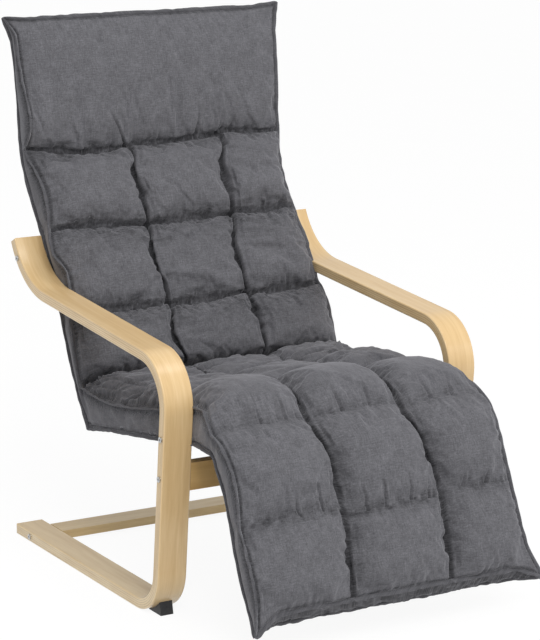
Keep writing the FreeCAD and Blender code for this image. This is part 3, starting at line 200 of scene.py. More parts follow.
def make_camera():
    a, e, r = CAMERA_AZIMUTH, CAMERA_PITCH, CAMERA_ROLL
    back = Vector((math.sin(a) * math.cos(e), -math.cos(a) * math.cos(e), math.sin(e)))
    right = Vector((math.cos(a), math.sin(a), 0))
    up = back.cross(right)
    turned_right = right * math.cos(r) + up * math.sin(r)
    turned_up = up * math.cos(r) - right * math.sin(r)
    camera = bpy.data.objects.new("camera", bpy.data.cameras.new("camera"))
    bpy.context.scene.collection.objects.link(camera)
    rotation = Matrix((turned_right, turned_up, back)).transposed()
    camera.matrix_world = Matrix.Translation(CAMERA_PLACE) @ rotation.to_4x4()
    camera.data.sensor_fit = "VERTICAL"
    camera.data.sensor_height = SENSOR
    camera.data.lens = LENS_PIXELS / PHOTO_PIXELS * SENSOR
    camera.data.clip_end = 50
    bpy.context.scene.camera = camera


# Mesh helpers


def new_piece(name, points, faces, material, smooth=True, cloth=None):
    """A mesh piece from points in the frame's metres; cloth holds each point's place on the fabric."""
    mesh = bpy.data.meshes.new(name)
    mesh.from_pydata([tuple(p) for p in points], [], [tuple(int(i) for i in f) for f in faces])
    mesh.update()
    if smooth:
        mesh.polygons.foreach_set("use_smooth", [True] * len(mesh.polygons))
    mesh.materials.append(material)
    if cloth is not None:
        layer = mesh.attributes.new("cloth", "FLOAT_VECTOR", "POINT")
        layer.data.foreach_set("vector", np.asarray(cloth, np.float32).ravel())
    piece = bpy.data.objects.new(name, mesh)
    bpy.context.scene.collection.objects.link(piece)
    return piece


def mesh_points(mesh):
    points = np.empty(len(mesh.vertices) * 3, np.float64)
    mesh.vertices.foreach_get("co", points)
    return points.reshape(-1, 3)


def unit(vectors):
    return vectors / np.maximum(np.linalg.norm(vectors, axis=-1, keepdims=True), 1e-9)


def run_lengths(points):
    """How far along a line of points each of them lies."""
    return np.concatenate([[0], np.cumsum(np.linalg.norm(np.diff(points, axis=0), axis=1))])


def bell(distance, width):
    return np.exp(-(distance / width) ** 2)


def hermite(knots, values, at, tangents=None):
    """Smooth curve through values at the knots, with the given tangents or else weighted means of the slopes
    on each side.
    """
    knots = np.asarray(knots, float)
    values = np.asarray(values, float)
    if values.ndim == 1:
        values = values[:, None]
    steps = np.diff(knots)[:, None]
    slopes = np.diff(values, axis=0) / steps
    if tangents is None:
        tangents = np.empty_like(values)
        tangents[0] = slopes[0]
        tangents[-1] = slopes[-1]
        tangents[1:-1] = (slopes[:-1] * steps[1:] + slopes[1:] * steps[:-1]) / (steps[1:] + steps[:-1])
    at = np.clip(np.asarray(at, float), knots[0], knots[-1])
    i = np.clip(np.searchsorted(knots, at, side="right") - 1, 0, len(steps) - 1)
    h = steps[i]
    t = ((at - knots[i]) / h[:, 0])[:, None]
    result = ((2 * t**3 - 3 * t**2 + 1) * values[i] + (t**3 - 2 * t**2 + t) * h * tangents[i]
              + (3 * t**2 - 2 * t**3) * values[i + 1] + (t**3 - t**2) * h * tangents[i + 1])
    return result[:, 0] if result.shape[1] == 1 else result


def monotone(knots, values, at):
    """Hermite curve whose tangents vanish at each local extreme."""
    knots = np.asarray(knots, float)
    values = np.asarray(values, float)
    slopes = np.diff(values) / np.diff(knots)
    tangents = np.zeros(len(values))
    tangents[0] = slopes[0]
    tangents[-1] = slopes[-1]
    for k in range(1, len(values) - 1):
        if slopes[k - 1] * slopes[k] > 0:
            tangents[k] = 2 * slopes[k - 1] * slopes[k] / (slopes[k - 1] + slopes[k])
    return hermite(knots, values, at, tangents[:, None])


# The cushion. Its long way is divided by sewn rows; each row has a place on the front, where the sewn
# channel lies, and one on the back or underside, both in the side drawing. The drawing is made of straight
# sections, in mm and degrees: the back rises from the corner behind the seat and leans less and less, the
# seat rises a little to the knee, and the leg rest hangs from the knee.
REAR_CORNER = (356, 276)
KNEE_CORNER = (-128, 336)
LOWER_BACK_LENGTH = 410
UPPER_BACK_LENGTH = 193
LOWER_BACK_LEAN = 33.5
UPPER_BACK_LEAN = 19.4
HEAD_LEAN = 9.6
SEAT_SLOPE = 7.1
LEG_REST_LEAN = 28.4


def section(start, angle, side):
    """A section's start, its way along, at an angle from upright, and its way out to the sitter."""
    way = np.array((np.sin(np.radians(angle)), np.cos(np.radians(angle))))
    return np.array(start, float), way, side * np.array((-way[1], way[0]))


def section_point(place, along, out):
    start, way, outwards = place
    return start + way * along + outwards * out


LOWER_BACK = section(REAR_CORNER, LOWER_BACK_LEAN, 1)
UPPER_BACK = section(section_point(LOWER_BACK, LOWER_BACK_LENGTH, 0), UPPER_BACK_LEAN, 1)
HEAD = section(section_point(UPPER_BACK, UPPER_BACK_LENGTH, 0), HEAD_LEAN, 1)
SEAT = section(REAR_CORNER, SEAT_SLOPE - 90, -1)
LEG_REST = section(KNEE_CORNER, LEG_REST_LEAN - 180, -1)
# The row under the head section, the one in the crease behind the seat and the last one of the seat
HEAD_ROW = 1
CREASE_ROW = 4
SEAT_END_ROW = 6
# Each sewn row on the front: its section, how far along it lies and how far out
FRONT_ROWS = ((HEAD, 226, 26), (UPPER_BACK, 166, 22), (LOWER_BACK, 392, 45), (LOWER_BACK, 220, 39),
              (LOWER_BACK, 72, 25), (SEAT, 152, 60), (SEAT, 330, 60), (LEG_REST, -23, 32),
              (LEG_REST, 147, 45), (LEG_REST, 303, 37))
# The same for the back and underside; a part of a row number lies between two rows
REAR_KNOTS = ((0, HEAD, 215, 0), (0.89, HEAD, 0, 0), (1, UPPER_BACK, 166, 0), (1.9, UPPER_BACK, 0, 0),
              (2, LOWER_BACK, 392, 0), (3, LOWER_BACK, 220, 0), (4, SEAT, 0, -8), (5, SEAT, 152, 0),
              (6, SEAT, 330, 0), (6.86, SEAT, 465, 0), (7, LEG_REST, 6, 0), (7.12, LEG_REST, 35, 2),
              (8, LEG_REST, 147, 0), (9, LEG_REST, 315, -6))
# Half width of the front panel on the left and on the right, and of the rear panel: at each sewn row, and how
# far the side bulges, or draws in, between two rows
LEFT_ROW_HALVES = (290, 292, 284, 286, 290, 286, 276, 296, 294, 288)
LEFT_BULGES = (-4, -10, 9, 4, -2, 0, -10, -5, 2)
RIGHT_ROW_HALVES = (295, 285, 273, 280, 285, 285, 276, 285, 283, 287)
RIGHT_BULGES = (0, -6, 1, 2, 0, 0, -6, -3, -4)
REAR_ROW_HALVES = (287, 288, 272, 279, 286, 284, 275, 283, 282, 281)
REAR_BULGES = (-8, 0, -3, 2, 0, 0, -3, -3, 3)
# The cushion stays narrow where it passes between the arms and between the legs of the side frames; the
# passes are given as rows
CLEAR_HALF_WIDTH = 275
FRONT_PASSES = (2.75, 6.42)
REAR_PASSES = (2.3, 6.3)
PASS_REACH = 0.2
PASS_SPREAD = 70
CELL_COUNTS = (40, 28, 27, 23, 26, 28, 30, 28, 26)
# The two sewn channels between the three columns: (row number, mm from the middle)
LEFT_CHANNEL = ((0, -70), (1, -70), (1.5, -80), (2, -76), (2.5, -83), (3, -77), (3.5, -86), (4, -70),
                (5, -72), (6, -80), (6.5, -92), (7, -103), (7.5, -89), (8, -85), (8.5, -92), (9, -100))
RIGHT_CHANNEL = ((0, 138), (1, 138), (1.5, 120), (2, 119), (2.5, 103), (3, 102), (3.5, 107), (4, 108),
                 (5, 110), (6, 108), (6.5, 102), (7, 95), (7.5, 111), (8, 124), (8.5, 116), (9, 109))
COLUMN_COUNTS = (33, 31, 26)
COLUMN_INDEX = np.cumsum((0, *COLUMN_COUNTS))
# How far the sewn rows wander, in mm towards the feet: at the left seam, the middle of the left column, each
# side of the left channel, the middle, each side of the right channel, the right column and the right seam
WANDER_PLACES = (0, 0.5, 0.97, 1.03, 1.5, 1.97, 2.03, 2.5, 3)
ROW_WANDER = {1: (5, 24, 22, 16, 15, 8, 2, 5, 8), 2: (5, 9, 17, 17, 13, 14, 10, 12, 3),
              3: (5, 13, 11, 16, 15, 9, 13, 11, 4), 4: (0, 2, 0, -2, 2, 0, 1, 2, 0),
              5: (0, 3, -3, 3, 0, -3, 3, -2, 0), 6: (0, -3, 3, -3, 2, 3, -3, 2, 0),
              7: (0, 1, -3, 2, -2, -3, 4, 0, 0), 8: (0, -6, -11, 10, 7, 4, -11, -8, -5)}
WANDER_REACH = 0.45
# How far each row's middle stands over its ends
ROW_RISES = (0, 14, 22, 22, 2, 3, 3, 17, 17, 0)
# The simulation starts from a part of the final rise, and its result is then scaled to that rise
START_RISE = 0.72


def stations():
    """Row number at each line of points along the cushion."""
    found = [row + np.arange(count) / count for row, count in enumerate(CELL_COUNTS)]
    return np.concatenate([*found, [len(CELL_COUNTS)]])


def cornered_curve(knots, rows, t):
    """Smooth curve through points of the side drawing, with a corner at the crease behind the seat."""
    corner = list(knots).index(CREASE_ROW)
    points = np.array([section_point(*row) for row in rows])
    upper = hermite(knots[:corner + 1], points[:corner + 1], t)
    lower = hermite(knots[corner:], points[corner:], t)
    return np.where((t <= CREASE_ROW)[:, None], upper, lower)


def front_curve(t):
    return cornered_curve(range(len(FRONT_ROWS)), FRONT_ROWS, t)


def rear_curve(t):
    return cornered_curve([knot[0] for knot in REAR_KNOTS], [knot[1:] for knot in REAR_KNOTS], t)


def along_rows(row_values, bulges, t, head_sag=1):
    """Values at the sewn rows and a bulge between each two of them; the head's may lie lower down."""
    row = np.minimum(np.asarray(t, float).astype(int), len(bulges) - 1)
    share = t - row
    share = np.where(row == 0, share ** head_sag, share)
    return monotone(range(len(row_values)), row_values, t) + np.array(bulges)[row] * np.sin(np.pi * share)


def half_widths(row_values, bulges, passes, t):
    halves = along_rows(row_values, bulges, t)
    for place in passes:
        limit = CLEAR_HALF_WIDTH + PASS_SPREAD * np.maximum(np.abs(t - place) - PASS_REACH, 0)
        halves = np.minimum(halves, limit)
    return halves


def curve_normals(curve, crease_index):
    """Unit normals of a side-drawing curve that runs from the head to the feet, towards the sitter."""
    ways = np.gradient(curve, axis=0)
    ways[crease_index] = ways[crease_index - 1] * 0.5 + ways[crease_index + 1] * 0.5
    return unit(np.stack([ways[:, 1], -ways[:, 0]], axis=1))


def smooth_along(values, passes):
    values = values.copy()
    for _ in range(passes):
        values[1:-1] = 0.25 * values[:-2] + 0.5 * values[1:-1] + 0.25 * values[2:]
    return values


# Rise of the padding over the sewn rows, in mm: in the middle of each column, for each stretch between two
# rows, the share of it that is left at the sewn channels, and how far down its crown lies
CROWNS = ((39, 39, 39), (51, 51, 50), (43, 43, 42), (49, 49, 49), (28, 31, 38), (38, 41, 48), (60, 60, 50),
          (37, 37, 35), (31, 31, 29))
CHANNEL_SHARES = (1, 0.66, 0.66, 0.66, 0.5, 0.5, 0.4, 0, 0)
SAGS = (1.3, 1.04, 1.04, 1, 1, 1, 0.76, 1.1, 1.1)
# Shape of each stretch along the cushion, across a column, and beside the cushion's sides, as the power and
# the root of pillow()
LONG_SHAPES = ((3, 0.65), *[(4.2, 0.6)] * 3, *[(3.2, 0.6)] * 2, (2.3, 0.85), (2.5, 0.85), (2.8, 0.75))
CROSS_SHAPES = ((4, 0.5), *[(6, 0.5)] * 3, *[(3, 0.6)] * 2, (2.6, 0.65), *[(2.4, 0.68)] * 2)
OUTER_SHAPES = (CROSS_SHAPES[0], *[(3, 0.75)] * 3, *CROSS_SHAPES[4:])
# Share of the stuffed shape that replaces the simulated one's
SHAPE_SHARE = 0.6
# Rise of the side seams over the row's ends, at the rows and between them, on the left and on the right
LEFT_SEAM_ROWS = (0, 0, 9, 9, -5, -9, -3, 2, 4, 0)
LEFT_SEAM_RISES = (40, 14, 9, 6, -7, 0, 16, 14, 6)
RIGHT_SEAM_ROWS = (0, 0, 2, 9, -2, -4, 0, 0, 0, 0)
RIGHT_SEAM_RISES = (8, 2, 5, 6, -3, 0, 12, 4, 3)
# The lower edge of the head section stands out most, just over its row
HEAD_SAG = 3
# Share of a row's rise that is left at the channels, how soon after the head's row the tufts begin, and how
# fast the base falls from a side seam to its channel
CHANNEL_ROW_SHARE = 0.4
TUFT_START = 0.04
SIDE_FALL = 2.5
# Shape of the plain head section, across the whole cushion
HEAD_SHAPE = (4, 0.65)
NORMAL_PASSES = 10
SOFTENING_PASSES = 14


def pillow(share, power, root):
    """Cross-section of a stuffed channel, 0 at its seams and 1 in the middle."""
    return np.clip(1 - np.abs(2 * share - 1) ** power, 0, 1) ** root


class Panel:
    """The cushion's front: a grid of points, rows along the cushion and columns across it."""

    def __init__(self):
        self.t = stations()
        self.rows = len(self.t)
        self.columns = sum(COLUMN_COUNTS) + 1
        self.row_index = np.cumsum((0, *CELL_COUNTS))
        self.curve = front_curve(self.t)
        left_half = half_widths(LEFT_ROW_HALVES, LEFT_BULGES, FRONT_PASSES, self.t)
        right_half = half_widths(RIGHT_ROW_HALVES, RIGHT_BULGES, FRONT_PASSES, self.t)
        cell = np.minimum(self.t.astype(int), len(CROWNS) - 1)
        profile = pillow((self.t - cell) ** np.array(SAGS)[cell], *np.array(LONG_SHAPES)[cell].T)
        row_rise = monotone(range(len(ROW_RISES)), ROW_RISES, self.t)
        crowns = (np.array(CROWNS)[cell].T - row_rise) * profile + row_rise
        channel = (crowns[1] - row_rise) * np.array(CHANNEL_SHARES)[cell] + row_rise * CHANNEL_ROW_SHARE
        cross_shape = np.array(CROSS_SHAPES)[cell].T
        outer_shape = np.array(OUTER_SHAPES)[cell].T
        left_side = along_rows(LEFT_SEAM_ROWS, LEFT_SEAM_RISES, self.t, HEAD_SAG)
        right_side = along_rows(RIGHT_SEAM_ROWS, RIGHT_SEAM_RISES, self.t)
        left_channel = monotone(*zip(*LEFT_CHANNEL), self.t)
        right_channel = monotone(*zip(*RIGHT_CHANNEL), self.t)
        edges = (-left_half, left_channel, right_channel, right_half)
        tufted_share = np.clip((self.t - HEAD_ROW) / TUFT_START, 0, 1)
        size = (self.rows, self.columns)
        self.heights = np.zeros(size)
        self.base = np.zeros(size)
        self.x = np.zeros(size)
        column_share = np.zeros(self.columns)
        for number, count in enumerate(COLUMN_COUNTS):
            side = (left_side, channel, right_side)[number]
            for step in range(count + 1):
                j = COLUMN_INDEX[number] + step
                local = step / count
                column_share[j] = number + local
                self.x[:, j] = edges[number] * (1 - local) + edges[number + 1] * local
                fall = ((1 - local) ** SIDE_FALL, 0, local ** SIDE_FALL)[number]
                base = channel + (side - channel) * fall
                across = (self.x[:, j] + left_half) / (left_half + right_half)
                between_sides = left_side * (1 - across) + right_side * across
                outer = (local < 0.5, False, local > 0.5)[number]
                tufted = (crowns[number] - base) * pillow(local, *(outer_shape if outer else cross_shape))
                plain = (crowns[number] - between_sides) * pillow(across, *HEAD_SHAPE)
                self.base[:, j] = between_sides * (1 - tufted_share) + base * tufted_share
                self.heights[:, j] = plain * (1 - tufted_share) + tufted * tufted_share
        wander = np.zeros(size)
        for row, shifts in ROW_WANDER.items():
            near = np.clip(1 - np.abs(self.t - row) / WANDER_REACH, 0, 1) ** 1.5
            wander += near[:, None] * np.interp(column_share, WANDER_PLACES, shifts)
        arc = run_lengths(self.curve)
        at = arc[:, None] + wander
        normals = curve_normals(self.curve, self.row_index[CREASE_ROW])
        normals = unit(smooth_along(normals, NORMAL_PASSES))
        self.ground = np.dstack([self.x, *(np.interp(at, arc, values) for values in self.curve.T)])
        self.ways = np.dstack([np.zeros(size), *(np.interp(at, arc, values) for values in normals.T)])

    def points(self, share):
        """Grid of points in mm of the drawing, with a share of the full rise of the padding."""
        return self.ground + self.ways * (self.base + self.heights * share)[:, :, None]

    def scaled(self, points):
        """A simulated grid whose padding is scaled to the full rise, by stretch and by column."""
        offset = points - self.ground
        height = np.sum(offset * self.ways, axis=2)
        over = height - self.base
        wanted_over = over.copy()
        for number in range(len(CELL_COUNTS)):
            first = self.row_index[number]
            last = self.row_index[number + 1]
            quarter = (last - first) // 4
            columns = zip(COLUMN_INDEX, COLUMN_INDEX[1:]) if number else ((0, self.columns - 1),)
            for left, right in columns:
                margin = (right - left) // 4
                middle = (slice(first + quarter, last - quarter), slice(left + margin, right - margin))
                wanted = self.heights[middle].mean()
                cell = (slice(first, last), slice(left, right + 1))
                wanted_over[cell] = over[cell] * (wanted / over[middle].mean())
        soft = wanted_over.copy()
        for _ in range(SOFTENING_PASSES):
            soft[1:-1, 1:-1] = neighbour_mean(soft)
        wanted_over += SHAPE_SHARE * (self.heights - soft)
        return points + self.ways * (wanted_over - over)[:, :, None]


def neighbour_mean(grid):
    """Mean of the four neighbours, for each inner point of a grid."""
    return (grid[:-2, 1:-1] + grid[2:, 1:-1] + grid[1:-1, :-2] + grid[1:-1, 2:]) / 4


def grid_faces(rows, columns, offset=0):
    i, j = np.meshgrid(np.arange(rows - 1), np.arange(columns - 1), indexing="ij")
    a = (i * columns + j).ravel() + offset
    return np.stack([a, a + columns, a + columns + 1, a + 1], axis=1)


def to_frame(points):
    return np.asarray(points).reshape(-1, 3) * MM + np.array(SHIFT)


CLOTH_FRAMES = 21
# The head section's cloth grows less than the rest, down to this row number, with a soft end
CALM_END = 0.8
CALM_FADE = 0.3
CLOTH_SETTINGS = {"quality": 5, "mass": 0.25, "tension_stiffness": 25, "compression_stiffness": 25,
                  "shear_stiffness": 8, "bending_stiffness": 0.35, "air_damping": 3,
                  "vertex_group_mass": "pins", "vertex_group_shrink": "calm", "shrink_min": -0.06,
                  "shrink_max": -0.012, "use_pressure": True, "uniform_pressure_force": 3}


def simulate(panel, points):
    """Inflates the front panel as cloth that is sewn down along its rows, channels and edge."""
    faces = grid_faces(panel.rows, panel.columns)
    cloth_object = new_piece("cloth_try", to_frame(points), faces, bpy.data.materials.new("none"))
    pins = np.zeros((panel.rows, panel.columns), bool)
    pins[:, [0, -1]] = True
    pins[panel.row_index] = True
    pins[panel.row_index[HEAD_ROW]:, COLUMN_INDEX[1:-1]] = True
    group = cloth_object.vertex_groups.new(name="pins")
    group.add(np.flatnonzero(pins).tolist(), 1, "REPLACE")
    calm = cloth_object.vertex_groups.new(name="calm")
    for row, t in enumerate(panel.t):
        weight = float(np.clip((CALM_END - t) / CALM_FADE, 0, 1))
        if weight > 0:
            calm.add(list(range(row * panel.columns, (row + 1) * panel.columns)), weight, "REPLACE")
    modifier = cloth_object.modifiers.new("cloth", "CLOTH")
    for key, value in CLOTH_SETTINGS.items():
        setattr(modifier.settings, key, value)
    modifier.settings.effector_weights.gravity = 0
    modifier.collision_settings.use_collision = False
    modifier.collision_settings.use_self_collision = False
    modifier.point_cache.frame_start = 1
    modifier.point_cache.frame_end = CLOTH_FRAMES + 3
    scene = bpy.context.scene
    for step in range(1, CLOTH_FRAMES + 1):
        scene.frame_set(step)
    evaluated = cloth_object.evaluated_get(bpy.context.evaluated_depsgraph_get())
    result = mesh_points(evaluated.to_mesh())
    evaluated.to_mesh_clear()
    scene.frame_set(1)
    bpy.data.objects.remove(cloth_object)
    return (result - np.array(SHIFT)).reshape(points.shape) / MM


# Finer grid, gathers and creases. Steps of the finer grid in one step of the panel:
FINER_ROWS = 2
FINER_COLUMNS = 4


def upsampled(grid, axes=(0, 1)):
    """The grid with a point added in the middle of every step, by cubic interpolation along each way."""
    for axis in axes:
        g = np.moveaxis(grid, axis, 0)
        padded = np.concatenate([2 * g[:1] - g[1:2], g, 2 * g[-1:] - g[-2:-1]])
        middle = (9 * (padded[1:-2] + padded[2:-1]) - padded[:-3] - padded[3:]) / 16
        dense = np.empty((2 * len(g) - 1, *g.shape[1:]))
        dense[::2] = g
        dense[1::2] = middle
        grid = np.moveaxis(dense, 0, axis)
    return grid


def finer(grid):
    return upsampled(upsampled(grid), axes=(1,))


NOISE_TABLE_SIZE = 256


def noise(u, v, seed):
    """Smooth noise from -1 to 1 with one bump or dip for about each unit step of u and v."""
    table = np.random.default_rng(seed).uniform(-1, 1, (NOISE_TABLE_SIZE, NOISE_TABLE_SIZE))
    iu = np.floor(u).astype(int)
    iv = np.floor(v).astype(int)
    fu, fv = (share * share * (3 - 2 * share) for share in (u - iu, v - iv))
    left, right = iu % NOISE_TABLE_SIZE, (iu + 1) % NOISE_TABLE_SIZE
    low, high = (table[left, row % NOISE_TABLE_SIZE] * (1 - fu) + table[right, row % NOISE_TABLE_SIZE] * fu
                 for row in (iv, iv + 1))
    return low * (1 - fv) + high * fv


def grid_normals(points):
    """Unit normals of a grid of points, towards the sitter."""
    return unit(np.cross(np.gradient(points, axis=0), np.gradient(points, axis=1)))


def relaxed(points, passes, amount, held):
    """The grid after smoothing; points that are held stay."""
    for _ in range(passes):
        inner = points[1:-1, 1:-1]
        moved = inner + (neighbour_mean(points) - inner) * amount
        points[1:-1, 1:-1] = np.where(held[1:-1, 1:-1, None], inner, moved)
    return points


# Single creases that leave a sewn row: row, x where they start, which way they run (-1 towards the head),
# length, lean in x and depth, in mm
CREASES = ((1, -80, -1, 66, -36, 8), (1, -112, -1, 26, 6, 4), (1, 84, -1, 66, 4, 5),
           (1, 136, -1, 34, 6, 5), (1, 166, -1, 30, 8, 3), (1, -170, -1, 26, -8, 3),
           (3, -150, 1, 30, -14, 5), (3, -60, 1, 34, 14, 5), (3, -30, 1, 40, 6, 4),
           (3, 60, 1, 30, 8, 4), (3, 125, 1, 34, 16, 5), (2, 140, 1, 22, 16, 4),
           (2, -78, 1, 24, -12, 4), (8, -180, -1, 46, -10, 5), (8, -130, -1, 60, -6, 5),
           (8, -40, -1, 55, -8, 5), (8, 0, -1, 62, -4, 5), (8, 50, -1, 50, 4, 5),
           (8, 95, -1, 44, 8, 5), (8, 170, -1, 46, 8, 4), (8, 220, -1, 40, 8, 4),
           (7, -200, -1, 40, 0, 4), (7, -150, -1, 48, -3, 4), (7, -30, -1, 40, 0, 4),
           (7, 30, -1, 46, 3, 4), (7, 160, -1, 44, 0, 4), (7, 210, -1, 40, 6, 4))
CREASE_HALF_WIDTH = 2.3
# For each sewn row, how strong its gathers are, how far they reach and how deep its crevice is, in mm
GATHER_STRENGTHS = (0, 1.0, 1.0, 1.0, 1.0, 0.5, 0.5, 1.15, 1.4, 0)
GATHER_REACHES = (0, 12, 13, 14, 14, 14, 14, 24, 28, 0)
CREVICE_DEPTHS = (0, 5.0, 5.0, 5.0, 5.5, 4.0, 4.0, 1.4, 0.4, 0)
# How strong the painted shade in each row's gathers is, and how far it reaches: towards the head and towards
# the feet
SHADE_STRENGTHS = (0, 0.76, 0.8, 0.8, 0.76, 0.38, 0.38, 0.42, 0.6, 0)
SHADE_REACHES = ((0, 0), (13, 30), (17, 50), (17, 50), (14, 12), (12, 12), (12, 12), (14, 12), (16, 14),
                 (0, 0))
CHANNEL_DEPTH = 6.5
CREVICE_WIDTH = 4.2
# The groove beside the cushion's edge, in mm
GROOVE_PLACE = 3
GROOVE_WIDTH = 2.4
GROOVE_DEPTH = 2


def gathered(points, arc, x, row_arcs, column_xs):
    """Adds the gathers beside the sewn rows, the creases along the channels and the groove beside the edge to
    the finer grid, and returns the painted shade of each point, from 0 to 1: in crevices, creases, dents and
    grooves and on the channels' flanks."""
    lift = np.zeros(points.shape[:2])
    painted_shade = np.zeros(points.shape[:2])
    started = np.clip((arc - row_arcs[HEAD_ROW]) / 8, 0, 1)
    near_channel = np.exp(-np.minimum(*(np.abs(x - column_x) for column_x in column_xs)) / 26)
    for number, row_arc in enumerate(row_arcs[1:-1], 1):
        distance = arc - row_arc
        away = np.abs(distance)
        side = np.where(distance > 0, 1.0, 2.0)
        strength = (0.7 + 0.9 * near_channel) * GATHER_STRENGTHS[number]
        if number == HEAD_ROW:
            strength = np.where(distance < 0, 0.45, strength)
        if number == CREASE_ROW:
            strength = np.where(distance > 0, 0.3, strength)
        skewed = x + noise(x / 45, distance / 60, 40 + number) * distance * 0.35
        if number < CREASE_ROW:
            # Crumpled along the seam over the back, pleated across it elsewhere
            fine = noise(x / 13, side * 3.7 + distance / 6.5, 60 + number)
            folds = noise(skewed / 22, side * 6.1 + distance / 11, 70 + number)
        else:
            fine = noise(skewed / 4.6, side * 3.7 + distance / 15, 60 + number)
            folds = noise(skewed / 9.5, side * 6.1 + distance / 30, 70 + number)
        broad = noise(skewed / 21, side * 5.3 + distance / 90, 80 + number)
        reach = GATHER_REACHES[number] * (1 + 0.5 * noise(x / 30, side, 90 + number))
        lift += strength * (1.5 * fine * np.exp(-away / 9) + 2.0 * folds * np.exp(-away / reach)
                            + 2.2 * broad * np.exp(-away / (reach * 1.7)))
        crevice = bell(distance + 1.6 * noise(x / 9, 0, 100 + number), CREVICE_WIDTH)
        lift -= CREVICE_DEPTHS[number] * crevice
        # Painted shade in the row's crevice, as deep as the crevice is
        painted_shade = np.maximum(painted_shade, CREVICE_DEPTHS[number] / max(CREVICE_DEPTHS) * crevice)
        # Painted shade beside the row, broken up by noise
        fuzz = noise(x / 8, distance / 4.5, 110 + number)
        shadow = 0.75 + 0.35 * np.clip(-fine - folds, -1, 1) + 0.6 * fuzz
        near = bell(away, np.where(distance < 0, *SHADE_REACHES[number]))
        painted_shade = np.maximum(painted_shade, SHADE_STRENGTHS[number] * near * np.clip(shadow, 0, 1.5))
    on_leg = np.clip((arc - row_arcs[SEAT_END_ROW]) / 60, 0, 1)
    for number, column_x in enumerate(column_xs):
        distance = x - column_x
        away = np.abs(distance)
        side = np.sign(distance) * 4.1
        folds = noise(arc / 8, side + distance / 30, 120 + number)
        broad = noise(arc / 19, side + distance / 50, 125 + number)
        lift += started * (0.9 * folds * np.exp(-away / 8) + 1.4 * broad * np.exp(-away / 14))
        wobble = 1.5 * noise(arc / 10, 0, 130 + number)
        crevice = started * bell(distance + wobble, np.where(arc > row_arcs[SEAT_END_ROW], 4.0, 3.0))
        lift -= CHANNEL_DEPTH * crevice
        # Painted shade in the channel's crevice and on the flank of the column beside it
        painted_shade = np.maximum(painted_shade, crevice)
        flank_painted_shade = (0.2 + 0.45 * on_leg) * np.exp(-np.maximum(distance, 0) / (9 + 15 * on_leg))
        painted_shade = np.maximum(painted_shade, started * flank_painted_shade * np.clip((distance + 4) / 4, 0, 1))
    for row, start_x, way, length, lean, depth in CREASES:
        along = (arc - row_arcs[row]) * way
        share = np.clip(along / length, 0, 1)
        begun = along > -2
        from_line = x - (start_x + lean * share + 1.5 * noise(arc / 9, start_x, 150))
        crease = bell(from_line, CREASE_HALF_WIDTH) * (1 - share) ** 0.8 * begun
        ridge = bell(from_line - 2.2 * CREASE_HALF_WIDTH, CREASE_HALF_WIDTH) * (1 - share) * begun
        lift += depth * (0.35 * ridge - crease)
        # Painted shade along the crease
        painted_shade = np.maximum(painted_shade, 0.12 * depth * crease)
    lift += 0.9 * noise(x / 38, arc / 46, 7) + 0.5 * noise(x / 12, arc / 16, 8)
    # Crumpled where it is bent between the back and the seat, with painted shade in the dents
    beyond = arc - row_arcs[CREASE_ROW]
    crumpled = np.clip((beyond + 30) / 40, 0, 1) * np.clip((row_arcs[SEAT_END_ROW] - arc) / 120, 0, 1)
    bent = noise(x / 70, arc / 60, 170) * 2.0
    for wave, height, seed in ((1.0, 4.0, 171), (2.3, 2.6, 172)):
        dents = noise(x * wave / 60 + bent, (arc + 0.35 * np.abs(x)) * wave / 19 + bent, seed)
        lift += crumpled * height * dents
        painted_shade = np.maximum(painted_shade, crumpled * 0.45 * np.clip(-dents * 1.6 - 0.2, 0, 1))
    # Wrinkles that run out from the two ends of that bend, with painted shade in their hollows
    beyond = np.maximum(beyond, 0)
    to_side = np.minimum(np.abs(x - x[:, :1]), np.abs(x - x[:, -1:]))
    from_end = np.hypot(to_side, beyond)
    rays = noise(np.arctan2(beyond, to_side) * 13, from_end / 260, 180)
    fade = np.exp(-from_end / 150) * np.clip(from_end / 30, 0, 1) * np.clip(beyond / 12, 0, 1)
    lift += 9.0 * fade * rays
    painted_shade = np.maximum(painted_shade, 1.1 * fade * np.clip(-rays * 1.6 - 0.1, 0, 1))
    edge = np.minimum(to_side, np.minimum(arc - arc[:1], arc[-1:] - arc))
    lift *= np.clip(edge / 6, 0, 1)
    groove = bell(edge - GROOVE_PLACE, GROOVE_WIDTH)
    lift -= GROOVE_DEPTH * groove
    # Painted shade in the groove beside the edge
    painted_shade = np.maximum(painted_shade, 0.75 * groove)
    return points + grid_normals(points) * lift[:, :, None], np.clip(painted_shade, 0, 1)


# Corners drawn out to flat ears: row and column of the corner in the grid, how far its tip stands from the
# corner of the front panel, how far it reaches and how pointed it is
EARS = ((0, 0, (-20, 9, 4), 30, 1.3), (0, -1, (16, 9, 4), 50, 0.9),
        (-1, 0, (-14, -8, -32), 44, 1.7), (-1, -1, (21, -8, -24), 44, 1.7))
# The rear panel's corners come this near to the tips
REAR_EAR_SHARE = 0.93


def drawn_ears(points, ears):
    """The grid with its corners drawn out; each ear has a corner, the way to its tip, a reach and a power."""
    moved = points.copy()
    for corner, pull, reach, power in ears:
        distance = np.linalg.norm(points - corner, axis=-1)
        weight = np.clip(1 - distance / reach, 0, 1) ** power
        moved += weight[..., None] * pull
    return moved


def perimeter(grid):
    """Boundary points of a grid as one loop: top from left to right, right side, bottom, left side."""
    return np.concatenate([grid[0, :], grid[1:, -1], grid[-1, -2::-1], grid[-2:0:-1, 0]])


def closed_smooth(values, passes):
    for _ in range(passes):
        values = 0.25 * np.roll(values, 1, axis=0) + 0.5 * values + 0.25 * np.roll(values, -1, axis=0)
    return values


BAND_STEPS = 8
REAR_STEP = 4
# Where the rear panel lies on its fabric, away from the front's, in mm
REAR_CLOTH = 300
# The side band's first line lies this much deeper, beside the front seam
SEAM_DIP = 2.4
